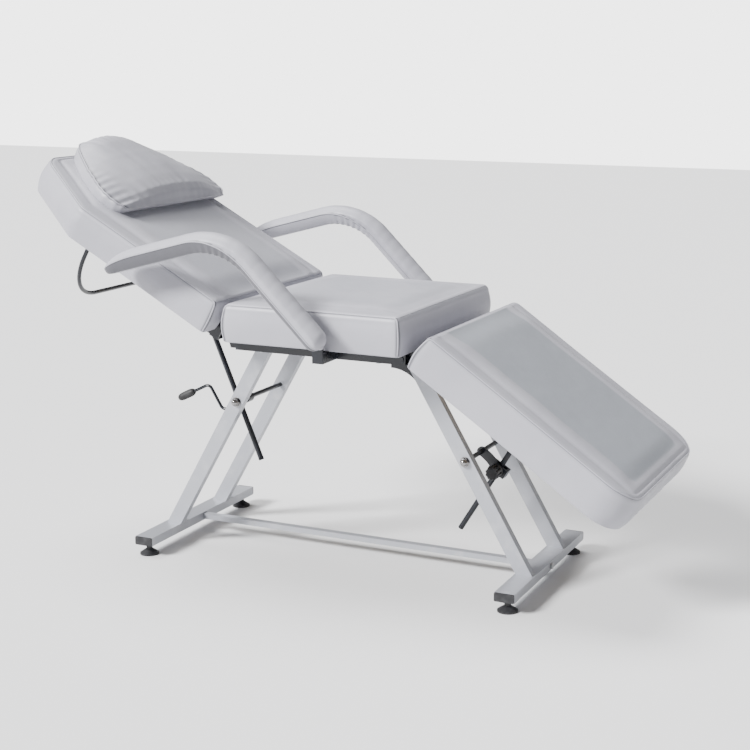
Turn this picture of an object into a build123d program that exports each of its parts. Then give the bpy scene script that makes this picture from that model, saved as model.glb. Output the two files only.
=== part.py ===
from build123d import *
from math import atan2, cos, degrees, hypot, pi, radians, sin, sqrt
import os

# A three-section treatment chair: a steel base with four sloping legs, a fixed seat,
# a reclining backrest and a tilting leg rest, each held by a strut in a clamp.
# Lengths are millimetres. X runs from the head end to the foot end, Y to the
# sitter's left, Z up. The sizes below are drawn from the floor point midway between the
# four feet; main() then moves the whole part so that the origin is under its middle.

# Base
bar_spacing = 994.0
bar_length = 530.0
bar_width = 50.0
bar_height = 22.0
bar_underside = 30.0
tube_wall = 1.5
leg_width = 36.0
leg_depth = 22.0
leg_outer_spacing = 259.0
head_leg_inset = 6.0
head_leg_run = 291.0
foot_leg_run = 304.0
stretcher_width = 20.0
stretcher_height = 14.0
stretcher_wall = 1.2
cap_plug_depth = 14.0
cap_flange = 3.5
cap_corner = 3.0
stretcher_plug_length = 14.0

# Levelling feet
foot_inset = 25.0
foot_pad_radius = 25.0
foot_pad_rim = 4.0
foot_pad_height = 15.0
foot_collar_radius = 9.0
stud_radius = 5.0
insert_radius = 9.0
insert_flange_radius = 12.0
insert_rise = 2.0

# Seat
seat_underside = 593.0
seat_thickness = 95.0
seat_length = 476.0
seat_width = 600.0
seat_centre_x = 5.0
board_thickness = 12.0
board_margin = 22.0
frame_tube = 25.0
frame_outer_width = 500.0
frame_rear_x = -222.0
frame_front_x = 235.0
cross_member_width = 42.0
board_bolt_radius = 3.0
board_bolt_head = 3.0
bolt_clearance = 0.3
gusset_reach = 32.0
gusset_edge = 37.0
gusset_radius = 94.0
gusset_foot = 45.0

# Cushion forms
crown = 9.0
edge_radius = 16.0
end_radius = 16.0
side_tuck = 5.0
side_draw = 4.0
cushion_end_shares = (
    (0.0, 1.0, 0.2), (0.08, 0.62, 0.35), (0.3, 0.29, 0.55), (0.62, 0.08, 0.7), (1.0, 0.0, 0.8), (3.0, 0.0, 1.0),
)

# Backrest, drawn flat and then raised about its hinge
back_rest_angle = 29.0
back_length = 676.0
back_width = 598.0
back_head_width = 330.0
back_taper_start = 445.0
back_thickness = 89.0
back_hinge_x = -262.3
back_hinge_z = 660.0
back_hinge_drop = 57.0
back_end_gap = 1.0

# Leg rest, drawn flat and then lowered about its hinge
leg_rest_angle = 34.4
leg_length = 613.0
leg_rest_width = 598.0
leg_corner_radius = 82.0
leg_corner_angles = (0.0, 22.0, 42.0, 60.0, 76.0, 88.0)
leg_corner_drop_shares = (0.0, 0.0, 0.04, 0.16, 0.45, 1.0)
leg_corner_crown_shares = (1.0, 1.0, 0.9, 0.7, 0.5, 0.25)
leg_frame_setback = 100.0
leg_hinge_x = 222.5
leg_hinge_lead = 24.5

# Hinges
plate_thickness = 6.0
hinge_plate_radius = 13.0
hinge_pin_radius = 5.0
pin_head_radius = 8.0
pin_head_height = 2.5
leg_arm_radius = 11.0
leg_arm_length = 120.0

# Struts and clamps
strut_radius = 7.0
strut_eye_radius = 9.0
strut_pin_radius = 4.0
lug_thickness = 5.0
lug_radius = 12.0
strut_pivot_reach = 15.0
cross_rod_radius = 6.0
head_rod_height = 404.0
foot_rod_height = 317.5
head_strut_y = -70.0
head_strut_length = 472.0
head_strut_offset = 28.0
head_pivot_back = 161.0
foot_strut_y = 0.0
foot_strut_length = 356.0
foot_pivot_out = 295.5
clamp_length = 24.0
clamp_wall = 6.0
head_slot_play = 13.0
foot_slot_play = 10.0
foot_stub_radius = 6.0
strut_ear_rise = 10.0
end_pin_radius = 2.0
bracket_reach_x = 41.0
bracket_drop = 44.0
bracket_width = 24.0
bracket_bow = 5.0

# Lock lever and lock knob
lever_hub_radius = 11.0
lever_hub_length = 16.0
lever_rod_radius = 4.0
lever_bend_radius = 14.0
lever_root = (-59.0, -36.0)
lever_rise = (-100.0, 31.0)
lever_fall = (-146.0, 8.0)
grip_radius = 10.5
grip_length = 53.0
grip_shares = ((0.0, 0.55), (0.12, 0.9), (0.55, 1.0), (0.92, 0.8), (1.0, 0.5))
knob_radius = 17.0
knob_length = 34.0
knob_ribs = 10
knob_groove_radius = 3.0
knob_screw_radius = 4.0
knob_standoff = 2.0
lever_y = -95.0

# Armrests
arm_centre_y = 355.0
arm_width = 64.0
arm_shoulder_height = 31.0
arm_dome_height = 19.5
arm_keel_width = 38.0
arm_rear_x = -512.0
arm_rear_z = 749.0
arm_rise_angle = 15.1
arm_fall_angle = 44.7
arm_top_length = 248.0
arm_bend_radius = 152.0
arm_fall_length = 250.0
arm_core_width = 25.0
arm_core_thickness = 8.0
arm_core_lift = 9.0
arm_core_inset = 12.0
arm_bow_share = 0.72
arm_end_round = 22.0
arm_end_shares = ((0.5, 0.5, 0.45), (0.82, 0.82, 0.2), (1.0, 1.0, 0.0))
arm_rear_round = 30.0
arm_rear_shares = ((0.55, 0.7, 0.38), (0.84, 0.9, 0.12), (1.0, 1.0, 0.0))
arm_bend_shares = (0.0, 0.125, 0.25, 0.375, 0.5, 0.625, 0.75, 0.875, 1.0)
arm_boss_radius = 8.0
arm_bolt_radius = 4.0
arm_bolt_head = 3.5
arm_bolt_setbacks = (28.0, 70.0)
arm_plate_thickness = 5.0
arm_plate_margin = 14.0

# Headrest pillow and roll hoop
pillow_start = 376.0
pillow_length = 290.0
pillow_width = 516.0
pillow_head_width = 240.0
pillow_offset = 40.0
pillow_shoulder_share = 0.56
pillow_rows = (
    (0.0, 0.86, 20.0, 38.0), (0.033, 0.94, 10.0, 55.0), (0.1, 1.0, -7.0, 68.0), (0.235, 1.0, -7.0, 74.0),
    (0.36, 0.91, -7.0, 77.0), (0.587, 0.63, -7.0, 80.0), (0.8, 0.28, -7.0, 78.0), (0.89, 0.1, -7.0, 74.0),
    (0.96, -0.08, 4.0, 65.0), (1.0, -0.25, 25.0, 50.0),
)
hoop_station = 413.0
hoop_half_width = 236.0
hoop_depth = 176.0
hoop_corner_radius = 132.0
hoop_rod_radius = 5.5
hoop_flange_radius = 17.0
hoop_flange_thickness = 3.0

# Fasteners and fits
bolt_head_radius = 7.5
bolt_head_height = 5.5
dome_nut_radius = 11.5
dome_nut_base = 5.0
dome_radius = 9.5
washer_radius = 13.0
washer_thickness = 2.0
running_fit = 0.06
slip_gap = 0.3
soft_gap = 0.5
side_gap = 1.5
origin_step = 0.25
overrun = 5.0

# Places that follow from the sizes above
bar_top = bar_underside + bar_height
bar_middle = bar_underside + bar_height / 2
foot_spacing = bar_length - 2 * foot_inset
frame_underside = seat_underside - frame_tube
leg_lean_head = head_leg_run / (frame_underside - bar_top)
leg_lean_foot = -foot_leg_run / (frame_underside - bar_top)
head_leg_x = -bar_spacing / 2 + head_leg_inset
foot_leg_x = bar_spacing / 2
leg_inner_y = leg_outer_spacing / 2 - leg_depth
seat_rear_x = seat_centre_x - seat_length / 2
seat_front_x = seat_centre_x + seat_length / 2
back_underside = back_hinge_z - back_hinge_drop
leg_hinge_z = seat_underside - frame_tube / 2
leg_start_x = leg_hinge_x + leg_hinge_lead
leg_frame_end_x = leg_start_x + leg_length - leg_frame_setback
head_rod_x = head_leg_x + (head_rod_height - bar_top) * leg_lean_head
foot_rod_x = foot_leg_x + (foot_rod_height - bar_top) * leg_lean_foot
foot_clamp_x = foot_rod_x + bracket_reach_x
foot_clamp_z = foot_rod_height - bracket_drop
rail_outer_y = frame_outer_width / 2
rail_inner_y = rail_outer_y - frame_tube
swing_rail_outer_y = rail_inner_y - side_gap - plate_thickness
swing_rail_inner_y = swing_rail_outer_y - frame_tube


def span(x0, x1, y0, y1, z0, z1):
    """A box between two corners."""
    centre = Pos((x0 + x1) / 2, (y0 + y1) / 2, (z0 + z1) / 2)
    return centre * Box(abs(x1 - x0), abs(y1 - y0), abs(z1 - z0))


def rod_y(x, z, y0, y1, radius):
    """A round bar along Y."""
    return Location((x, (y0 + y1) / 2, z), (90, 0, 0)) * Cylinder(radius, abs(y1 - y0))


def rod_z(x, y, z0, z1, radius):
    """A round bar along Z."""
    return Pos(x, y, (z0 + z1) / 2) * Cylinder(radius, abs(z1 - z0))


def rod_between(start, end, radius):
    """A round bar from one point to another."""
    axis = Vector(*end) - Vector(*start)
    plane = Plane(origin=start, z_dir=axis)
    return extrude(plane * Circle(radius), amount=axis.length)


def plate_xz(points, y0, y1):
    """A flat plate whose outline is given in X and Z, between two Y faces."""
    outline = Polyline([(x, y0, z) for x, z in points], close=True)
    return extrude(make_face(outline), amount=y1 - y0, dir=(0, 1, 0))


def mirrored(shape):
    """The same piece on the other side of the chair."""
    return mirror(shape, about=Plane.XZ)


def both_sides(shape):
    """A piece and its twin across the chair, as one group."""
    return Compound(children=[*shape.solids(), *mirrored(shape).solids()])


def raised(shape, angle=back_rest_angle):
    """A backrest piece turned up about the back hinge."""
    axis = Axis((back_hinge_x, 0, back_hinge_z), (0, 1, 0))
    return shape.rotate(axis, angle)


def lowered(shape, angle=leg_rest_angle):
    """A leg rest piece turned down about the leg hinge."""
    axis = Axis((leg_hinge_x, 0, leg_hinge_z), (0, 1, 0))
    return shape.rotate(axis, angle)


def turned(point, centre, angle):
    """An X and Z point turned about a centre, positive from Z towards X."""
    dx, dz = point[0] - centre[0], point[1] - centre[1]
    c, s = cos(radians(angle)), sin(radians(angle))
    return centre[0] + dx * c + dz * s, centre[1] - dx * s + dz * c


# Cushions

def cushion_section(x_low, x_high, half, low, high, rise, corner=edge_radius):
    """One cross-section of a cushion: flat base, bowed sides, rounded edges, crowned top."""
    def at(y, z):
        share = (z - low) / (high - low)
        return (x_low + (x_high - x_low) * share, y, z)

    inner = half - side_tuck
    shoulder = high - corner
    bevel = corner * (1 - sqrt(0.5))
    middle = (low + shoulder) / 2
    edges = [
        Line(at(-inner, low), at(inner, low)),
        ThreePointArc(at(inner, low), at(half, middle), at(inner, shoulder)),
        ThreePointArc(at(inner, shoulder), at(inner - bevel, high - bevel), at(inner - corner, high)),
        ThreePointArc(at(inner - corner, high), at(0, high + rise), at(corner - inner, high)),
        ThreePointArc(at(corner - inner, high), at(bevel - inner, high - bevel), at(-inner, shoulder)),
        ThreePointArc(at(-inner, shoulder), at(-half, middle), at(-inner, low)),
    ]
    return Face(Wire(edges))


def cushion(stations, low, high):
    """A padded form lofted through stations of (low X, high X, half width, drop of the top, crown)."""
    sections = [
        cushion_section(x_low, x_high, half, low, high - drop, rise)
        for x_low, x_high, half, drop, rise in stations
    ]
    return loft(sections, ruled=True)


def with_board_pocket(form, x0, x1, half, low):
    """Cuts the recess that the plywood sits in, flush with the underside."""
    return form - span(x0, x1, -half, half, low - overrun, low + board_thickness)


def end_stations(x, inward, half, first=True):
    """Stations that round the top edge at one end of a cushion."""
    rows = []
    for run_share, drop_share, crown_share in cushion_end_shares:
        start = x + inward * end_radius * run_share
        squeeze = max(1 - run_share, 0) * side_tuck
        rows.append((start, start, half - squeeze, end_radius * drop_share, crown * crown_share))
    return rows if first else rows[::-1]


def seat_cushion():
    half = seat_width / 2
    rear = end_stations(seat_rear_x, 1, half)
    front = end_stations(seat_front_x, -1, half, first=False)
    middle = [(seat_centre_x, seat_centre_x, half - side_draw, 0.0, crown)]
    form = cushion(rear + middle + front, seat_underside, seat_underside + seat_thickness)
    return with_board_pocket(form, *seat_board_span(), seat_board_half(), seat_underside)


def seat_board_span():
    return seat_rear_x + board_margin, seat_front_x - board_margin


def seat_board_half():
    return seat_width / 2 - board_margin


def board(x0, x1, half, low):
    """A plywood panel, a slip gap smaller than its pocket all round."""
    return span(x0 + slip_gap, x1 - slip_gap, slip_gap - half, half - slip_gap, low, low + board_thickness)


# Backrest, in its flat pose

def back_start_x():
    return back_hinge_x + back_end_gap


def back_half_at(station):
    """Half the width of the backrest at a distance from its seat end."""
    half, tip = back_width / 2, back_head_width / 2
    share = (station - back_taper_start) / (back_length - back_taper_start)
    return half if share <= 0 else half + (tip - half) * share


def back_cushion():
    x = back_start_x()
    half = back_width / 2
    run = back_length - back_taper_start
    seat_end = end_stations(x, -1, half)
    waist = [(x - back_taper_start / 2, x - back_taper_start / 2, half - side_draw, 0.0, crown)]
    taper_shares = [0.0, 0.16, 0.4, 0.66, 0.86]
    rounding_shares = [0.0, 0.02, 0.0, 0.01, 0.06]
    taper = []
    for run_share, round_share in zip(taper_shares, rounding_shares):
        station = back_taper_start + run * run_share
        width = back_half_at(station) * (1 - round_share)
        taper.append((x - station, x - station, width, 0.0, crown))
    tip = [
        (x - back_length + end_radius / 3, x - back_length + end_radius / 3, back_head_width * 0.44, end_radius / 10, crown * 0.7),
        (x - back_length, x - back_length, back_head_width * 0.37, end_radius / 3, crown / 2),
    ]
    form = cushion(seat_end + waist + taper + tip, back_underside, back_underside + back_thickness)
    form = with_board_pocket(form, *back_board_span(), back_board_half(), back_underside)
    return form - both_sides(hinge_notch())


def back_board_span():
    x = back_start_x()
    return x - back_taper_start + board_margin, x - board_margin - 2 * hinge_plate_radius


def back_board_half():
    return back_width / 2 - board_margin - side_draw


def hinge_notch():
    """The slot in the cushion's lower end that the hinge plates turn in."""
    y0 = swing_rail_outer_y - pin_head_height - 2 * side_gap
    y1 = rail_inner_y + plate_thickness + pin_head_height + 2 * side_gap + side_gap
    x0 = back_hinge_x - hinge_plate_radius - side_gap
    z1 = back_hinge_z + hinge_plate_radius + side_gap
    return span(x0, back_start_x() + overrun, y0, y1, back_underside - overrun, z1)


# Base

def base_bar(x):
    """One floor bar: a rectangular tube with holes for the foot inserts and the stretcher bolt."""
    half, end = bar_width / 2, bar_length / 2
    bar = span(x - half, x + half, -end, end, bar_underside, bar_top)
    bar -= span(
        x - half + tube_wall, x + half - tube_wall, -end - overrun, end + overrun,
        bar_underside + tube_wall, bar_top - tube_wall,
    )
    for y in (-foot_spacing / 2, foot_spacing / 2):
        bar -= rod_z(x, y, bar_underside - overrun, bar_middle, insert_radius + running_fit)
    return bar - stretcher_bolt_hole(x)


def stretcher_bolt_hole(x):
    start = (x - bar_width / 2 - overrun, 0, bar_middle)
    end = (x + bar_width / 2 + overrun, 0, bar_middle)
    return rod_between(start, end, arm_bolt_radius + running_fit)


def bar_caps():
    """The plastic caps pushed into the ends of both floor bars."""
    caps = []
    plug_half = bar_width / 2 - tube_wall - slip_gap
    for x in (-bar_spacing / 2, bar_spacing / 2):
        for side in (-1, 1):
            end = side * bar_length / 2
            flange = span(
                x - bar_width / 2, x + bar_width / 2, end, end + side * cap_flange, bar_underside, bar_top,
            )
            plug = span(
                x - plug_half, x + plug_half, end - side * cap_plug_depth, end,
                bar_underside + tube_wall + slip_gap, bar_top - tube_wall - slip_gap,
            )
            caps.append(fillet(flange.edges().filter_by(Axis.Y), cap_corner) + plug)
    return Compound(children=caps)


def foot_places():
    return [(x, y) for x in (-bar_spacing / 2, bar_spacing / 2) for y in (-foot_spacing / 2, foot_spacing / 2)]


def foot_insert(x, y):
    """A threaded insert in the underside of a floor bar."""
    top = bar_middle + insert_rise
    body = rod_z(x, y, bar_underside, top, insert_radius)
    flange = rod_z(x, y, bar_underside - washer_thickness, bar_underside, insert_flange_radius)
    bore = rod_z(x, y, bar_underside - washer_thickness - overrun, top + overrun, stud_radius + running_fit)
    return body + flange - bore


def levelling_foot(x, y):
    """A disc foot with a coned top, a collar and a stud that screws into the bar."""
    collar_top = bar_underside - washer_thickness - slip_gap
    stud_top = bar_top - tube_wall - slip_gap
    disc = Pos(x, y, foot_pad_rim / 2) * Cylinder(foot_pad_radius, foot_pad_rim)
    cone_height = foot_pad_height - foot_pad_rim
    cone = Pos(x, y, foot_pad_rim + cone_height / 2) * Cone(foot_pad_radius, foot_collar_radius, cone_height)
    hexagon = Plane.XY.offset(foot_pad_height) * Pos(x, y) * RegularPolygon(foot_collar_radius, 6)
    collar = extrude(hexagon, amount=collar_top - foot_pad_height)
    stud = rod_z(x, y, collar_top, stud_top, stud_radius)
    return disc + cone + collar + stud


def leg_tube(x, run, side):
    """One sloping leg: a rectangular tube cut level at both ends, with a hole for the cross rod."""
    lean = run / (frame_underside - bar_top)
    stretch = sqrt(1 + lean * lean)
    half = leg_width / 2 * stretch
    hollow = half - tube_wall * stretch
    outer_y = side * leg_outer_spacing / 2
    inner_y = side * leg_inner_y
    wall = side * tube_wall

    def outline(reach, extra):
        low, high = bar_top - extra, frame_underside + extra
        slide = extra * lean
        return [
            (x - slide - reach, low), (x - slide + reach, low),
            (x + run + slide + reach, high), (x + run + slide - reach, high),
        ]

    tube = plate_xz(outline(half, 0), min(inner_y, outer_y), max(inner_y, outer_y))
    bore_y = sorted((inner_y + wall, outer_y - wall))
    tube -= plate_xz(outline(hollow, overrun), *bore_y)
    rod_x, rod_z_level = (head_rod_x, head_rod_height) if run > 0 else (foot_rod_x, foot_rod_height)
    hole_y = sorted((inner_y - side * overrun, outer_y + side * overrun))
    return tube - rod_y(rod_x, rod_z_level, *hole_y, cross_rod_radius + running_fit)


def cross_rod(x, z):
    end = leg_outer_spacing / 2 + washer_thickness + dome_nut_base
    return rod_y(x, z, -end, end, cross_rod_radius)


def leg_washer(x, z, side):
    face = side * leg_outer_spacing / 2
    ys = sorted((face, face + side * washer_thickness))
    disc = rod_y(x, z, *ys, washer_radius)
    return disc - rod_y(x, z, ys[0] - overrun, ys[1] + overrun, cross_rod_radius + running_fit)


def dome_nut(x, z, side):
    """A hexagonal nut with a domed end."""
    face = side * (leg_outer_spacing / 2 + washer_thickness)
    plane = Plane(origin=(x, face, z), x_dir=(1, 0, 0), z_dir=(0, side, 0))
    base = extrude(plane * RegularPolygon(dome_nut_radius, 6), amount=dome_nut_base)
    ball = Pos(x, face + side * dome_nut_base, z) * Sphere(dome_radius)
    beyond = sorted((face + side * dome_nut_base, face + side * (dome_nut_base + dome_radius + overrun)))
    reach = dome_radius + overrun
    dome = ball & span(x - reach, x + reach, *beyond, z - reach, z + reach)
    bore_y = sorted((face - side * overrun, face + side * (dome_nut_base + slip_gap)))
    return base + dome - rod_y(x, z, *bore_y, cross_rod_radius + running_fit)


def stretcher():
    """The centre tube that joins the two floor bars."""
    end = bar_spacing / 2 - bar_width / 2
    half, rise = stretcher_width / 2, stretcher_height / 2
    tube = span(-end, end, -half, half, bar_middle - rise, bar_middle + rise)
    wall = stretcher_wall
    return tube - span(
        -end - overrun, end + overrun, wall - half, half - wall, bar_middle - rise + wall, bar_middle + rise - wall,
    )


def stretcher_plugs():
    """Tapped blocks pressed into the stretcher's ends for its bolts."""
    end = bar_spacing / 2 - bar_width / 2
    half = stretcher_width / 2 - stretcher_wall - running_fit
    rise = stretcher_height / 2 - stretcher_wall - running_fit
    plugs = []
    for side in (-1, 1):
        xs = sorted((side * end, side * (end - stretcher_plug_length)))
        block = span(*xs, -half, half, bar_middle - rise, bar_middle + rise)
        bore = rod_between(
            (xs[0] - overrun, 0, bar_middle), (xs[1] + overrun, 0, bar_middle), arm_bolt_radius + running_fit,
        )
        plugs.append(block - bore)
    return Compound(children=plugs)


def stretcher_bolts():
    """The bolts through the floor bars into the stretcher."""
    bolts = []
    face = bar_spacing / 2 + bar_width / 2
    tip = bar_spacing / 2 - bar_width / 2 - stretcher_plug_length
    for side in (-1, 1):
        shank = rod_between((side * tip, 0, bar_middle), (side * face, 0, bar_middle), arm_bolt_radius)
        head = rod_between(
            (side * face, 0, bar_middle), (side * (face + bolt_head_height), 0, bar_middle), bolt_head_radius,
        )
        bolts.append(shank + head)
    return Compound(children=bolts)


# Seat frame

def box_tube_x(x0, x1, y0, y1, low):
    """A rectangular tube along X, open at both ends."""
    high = low + frame_tube
    tube = span(x0, x1, y0, y1, low, high)
    wall = tube_wall
    return tube - span(x0 - overrun, x1 + overrun, y0 + wall, y1 - wall, low + wall, high - wall)


def box_tube_y(x0, x1, half, low):
    """A rectangular tube along Y, open at both ends."""
    high = low + frame_tube
    tube = span(x0, x1, -half, half, low, high)
    wall = tube_wall
    return tube - span(x0 + wall, x1 - wall, -half - overrun, half + overrun, low + wall, high - wall)


def seat_frame():
    """The fixed frame that the legs, hinges, armrests and seat board are fastened to."""
    rail = box_tube_x(frame_rear_x, frame_front_x, rail_inner_y, rail_outer_y, frame_underside)
    frame = rail + mirrored(rail)
    frame += box_tube_y(frame_rear_x, frame_rear_x + cross_member_width, rail_inner_y, frame_underside)
    front = leg_hinge_x - leg_arm_radius - 2 * side_gap
    frame += box_tube_y(front - cross_member_width, front, rail_inner_y, frame_underside)
    for side in (-1, 1):
        ys = sorted((side * (rail_inner_y - overrun), side * (rail_outer_y + overrun)))
        frame -= rod_y(leg_hinge_x, leg_hinge_z, *ys, hinge_pin_radius + running_fit)
    return drilled(frame, seat_bolt_places(), frame_underside)


def gusset():
    """A curved plate between the seat frame and the inner edge of a foot leg."""
    half = leg_width / 2 * sqrt(1 + leg_lean_foot * leg_lean_foot)

    def leg_edge(z):
        return foot_leg_x + (z - bar_top) * leg_lean_foot - half

    start_x = leg_edge(frame_underside) - gusset_reach
    start_z = frame_underside - gusset_edge
    foot_z = start_z - gusset_foot
    outline = [
        (start_x, frame_underside), (start_x, foot_z), (leg_edge(foot_z), foot_z),
        (leg_edge(frame_underside), frame_underside),
    ]
    centre_y = leg_outer_spacing / 2 - leg_depth / 2
    y0, y1 = -centre_y - plate_thickness / 2, plate_thickness / 2 - centre_y
    plate = plate_xz(outline, y0, y1)
    return plate - rod_y(start_x, start_z - gusset_radius, y0 - overrun, y1 + overrun, gusset_radius)


def back_hinge_plate():
    """The upright plate at the rear of the seat frame that carries the back hinge pin."""
    r = hinge_plate_radius
    y0, y1 = rail_inner_y, rail_inner_y + plate_thickness
    rear_x = seat_rear_x - soft_gap - slip_gap
    top = rod_y(back_hinge_x, back_hinge_z, y0, y1, r)
    web = plate_xz(
        [
            (frame_rear_x, frame_underside), (frame_rear_x, seat_underside), (rear_x, seat_underside),
            (back_hinge_x + r, back_hinge_z), (back_hinge_x - r, back_hinge_z), (rear_x - r, frame_underside),
        ],
        y0, y1,
    )
    return web + top - hinge_hole(back_hinge_x, back_hinge_z, y0, y1)


def hinge_hole(x, z, y0, y1):
    return rod_y(x, z, y0 - overrun, y1 + overrun, hinge_pin_radius + running_fit)


def hinge_pin(x, z, y0, y1):
    """A pin with a head at each end."""
    shank = rod_y(x, z, y0 - running_fit, y1 + running_fit, hinge_pin_radius)
    low = rod_y(x, z, y0 - running_fit - pin_head_height, y0 - running_fit, pin_head_radius)
    high = rod_y(x, z, y1 + running_fit, y1 + running_fit + pin_head_height, pin_head_radius)
    return shank + low + high


# Bolts that hold the boards

def seat_bolt_places():
    xs = (frame_rear_x + cross_member_width + frame_tube, frame_front_x - 3 * frame_tube)
    return [(x, side * (rail_outer_y - frame_tube / 2)) for x in xs for side in (-1, 1)]


def back_bolt_places():
    xs = (back_start_x() - back_taper_start + 2 * frame_tube, back_hinge_x - 3 * frame_tube)
    return [(x, side * (swing_rail_outer_y - frame_tube / 2)) for x in xs for side in (-1, 1)]


def leg_bolt_places():
    xs = (leg_start_x + 4 * frame_tube, leg_frame_end_x - 2 * frame_tube)
    return [(x, side * (swing_rail_outer_y - frame_tube / 2)) for x in xs for side in (-1, 1)]


def drilled(shape, places, low):
    """A frame or board with the holes for its bolts."""
    high = low + frame_tube + board_thickness
    for x, y in places:
        shape -= rod_z(x, y, low - overrun, high + overrun, board_bolt_radius + bolt_clearance)
    return shape


def board_bolts(places, low):
    """Bolts up through a frame tube into the board above it."""
    bolts = []
    for x, y in places:
        shank = rod_z(x, y, low, low + frame_tube + board_thickness - slip_gap, board_bolt_radius)
        head = rod_z(x, y, low - board_bolt_head, low, 2 * board_bolt_radius)
        bolts.append(shank + head)
    return Compound(children=bolts)


def seat_board():
    panel = board(*seat_board_span(), seat_board_half(), seat_underside)
    return drilled(panel, seat_bolt_places(), frame_underside)


# Armrests

def arm_path_points(offset):
    """Start, bend start, bend middle, bend end and finish of a line that runs offset from the keel."""
    rise, fall = radians(arm_rise_angle), radians(-arm_fall_angle)
    start = (arm_rear_x - offset * sin(rise), arm_rear_z + offset * cos(rise))
    bend_start = (start[0] + arm_top_length * cos(rise), start[1] + arm_top_length * sin(rise))
    radius = arm_bend_radius + offset
    centre = (bend_start[0] + radius * sin(rise), bend_start[1] - radius * cos(rise))
    middle_turn = (rise + fall) / 2
    middle = (centre[0] - radius * sin(middle_turn), centre[1] + radius * cos(middle_turn))
    bend_end = (centre[0] - radius * sin(fall), centre[1] + radius * cos(fall))
    finish = (bend_end[0] + arm_fall_length * cos(fall), bend_end[1] + arm_fall_length * sin(fall))
    return start, bend_start, middle, bend_end, finish


def arm_station(distance):
    """The keel point and direction, in degrees, at a distance along the armrest."""
    start, bend_start, _, bend_end, _ = arm_path_points(0)
    turn = arm_rise_angle + arm_fall_angle
    bend_length = arm_bend_radius * radians(turn)
    if distance <= arm_top_length:
        heading = radians(arm_rise_angle)
        return start[0] + distance * cos(heading), start[1] + distance * sin(heading), arm_rise_angle
    if distance <= arm_top_length + bend_length:
        heading = arm_rise_angle - turn * (distance - arm_top_length) / bend_length
        centre = (
            bend_start[0] + arm_bend_radius * sin(radians(arm_rise_angle)),
            bend_start[1] - arm_bend_radius * cos(radians(arm_rise_angle)),
        )
        x = centre[0] - arm_bend_radius * sin(radians(heading))
        return x, centre[1] + arm_bend_radius * cos(radians(heading)), heading
    rest = distance - arm_top_length - bend_length
    heading = radians(-arm_fall_angle)
    return bend_end[0] + rest * cos(heading), bend_end[1] + rest * sin(heading), -arm_fall_angle


def arm_section(distance, width_share, height_share, lift_share):
    """One cross-section of the armrest: narrow keel, bowed sides and a domed top."""
    x, z, heading = arm_station(distance)
    along = radians(heading)
    half = arm_width / 2 * width_share
    keel = arm_keel_width / 2 * width_share
    lift = lift_share * arm_shoulder_height
    shoulder = lift + (arm_shoulder_height - lift) * height_share
    peak = shoulder + arm_dome_height * height_share

    def at(y, up):
        return (x - up * sin(along), arm_centre_y + y, z + up * cos(along))

    belly = (shoulder + lift) / 2
    bow = keel + (half - keel) * arm_bow_share
    edges = [
        Line(at(-keel, lift), at(keel, lift)),
        ThreePointArc(at(keel, lift), at(bow, belly), at(half, shoulder)),
        ThreePointArc(at(half, shoulder), at(0, peak), at(-half, shoulder)),
        ThreePointArc(at(-half, shoulder), at(-bow, belly), at(-keel, lift)),
    ]
    return Face(Wire(edges))


def arm_length():
    return arm_top_length + arm_bend_radius * radians(arm_rise_angle + arm_fall_angle) + arm_fall_length


def arm_pad():
    """The padded armrest on the +Y side, hollowed for its steel core."""
    total = arm_length()
    bend = arm_bend_radius * radians(arm_rise_angle + arm_fall_angle)
    bend_places = [arm_top_length + bend * share for share in arm_bend_shares]
    rows = [
        (0.0, *arm_rear_shares[0]), (arm_rear_round / 3, *arm_rear_shares[1]), (arm_rear_round, *arm_rear_shares[2]),
        (arm_top_length / 2, 1, 1, 0),
    ]
    rows += [(place, 1, 1, 0) for place in bend_places]
    rows += [
        (total - arm_fall_length / 2, 1, 1, 0), (total - arm_end_round, *arm_end_shares[2]),
        (total - arm_end_round / 3, *arm_end_shares[1]), (total, *arm_end_shares[0]),
    ]
    form = loft([arm_section(*row) for row in rows], ruled=True)
    form -= arm_band(arm_core_lift - slip_gap, arm_core_thickness + 2 * slip_gap, arm_core_width / 2 + slip_gap)
    return form - arm_boss_shape(arm_boss_radius + slip_gap, arm_centre_y - arm_width)


def arm_band(lift, thickness, half):
    """A flat bar bent to run inside the armrest."""
    low, high = arm_path_points(lift), arm_path_points(lift + thickness)

    def point(p):
        return (p[0], 0, p[1])

    inset = arm_core_inset
    heads = [(cos(radians(arm_rise_angle)), sin(radians(arm_rise_angle)))] * 2
    tails = [(cos(radians(arm_fall_angle)), -sin(radians(arm_fall_angle)))] * 2
    start = [(p[0][0] + inset * h[0], p[0][1] + inset * h[1]) for p, h in zip((low, high), heads)]
    finish = [(p[4][0] - inset * t[0], p[4][1] - inset * t[1]) for p, t in zip((low, high), tails)]
    edges = [
        Line(point(start[0]), point(low[1])), ThreePointArc(point(low[1]), point(low[2]), point(low[3])),
        Line(point(low[3]), point(finish[0])), Line(point(finish[0]), point(finish[1])),
        Line(point(finish[1]), point(high[3])), ThreePointArc(point(high[3]), point(high[2]), point(high[1])),
        Line(point(high[1]), point(start[1])), Line(point(start[1]), point(start[0])),
    ]
    band = extrude(make_face(Wire(edges)), amount=half, dir=(0, 1, 0), both=True)
    return Pos(0, arm_centre_y, 0) * band


def arm_bolt_places():
    """Where the two bolts of an armrest cross its core, near its lower end."""
    total = arm_length()
    middle = arm_core_lift + arm_core_thickness / 2
    places = []
    for back in arm_bolt_setbacks:
        x, z, heading = arm_station(total - back)
        along = radians(heading)
        places.append((x - middle * sin(along), z + middle * cos(along)))
    return places


def arm_boss_shape(radius, far_y):
    """Round bars across the armrest at its bolt places, from far_y to the core's centre."""
    bars = [rod_y(x, z, far_y, arm_centre_y, radius) for x, z in arm_bolt_places()]
    return Compound(children=bars)


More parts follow.
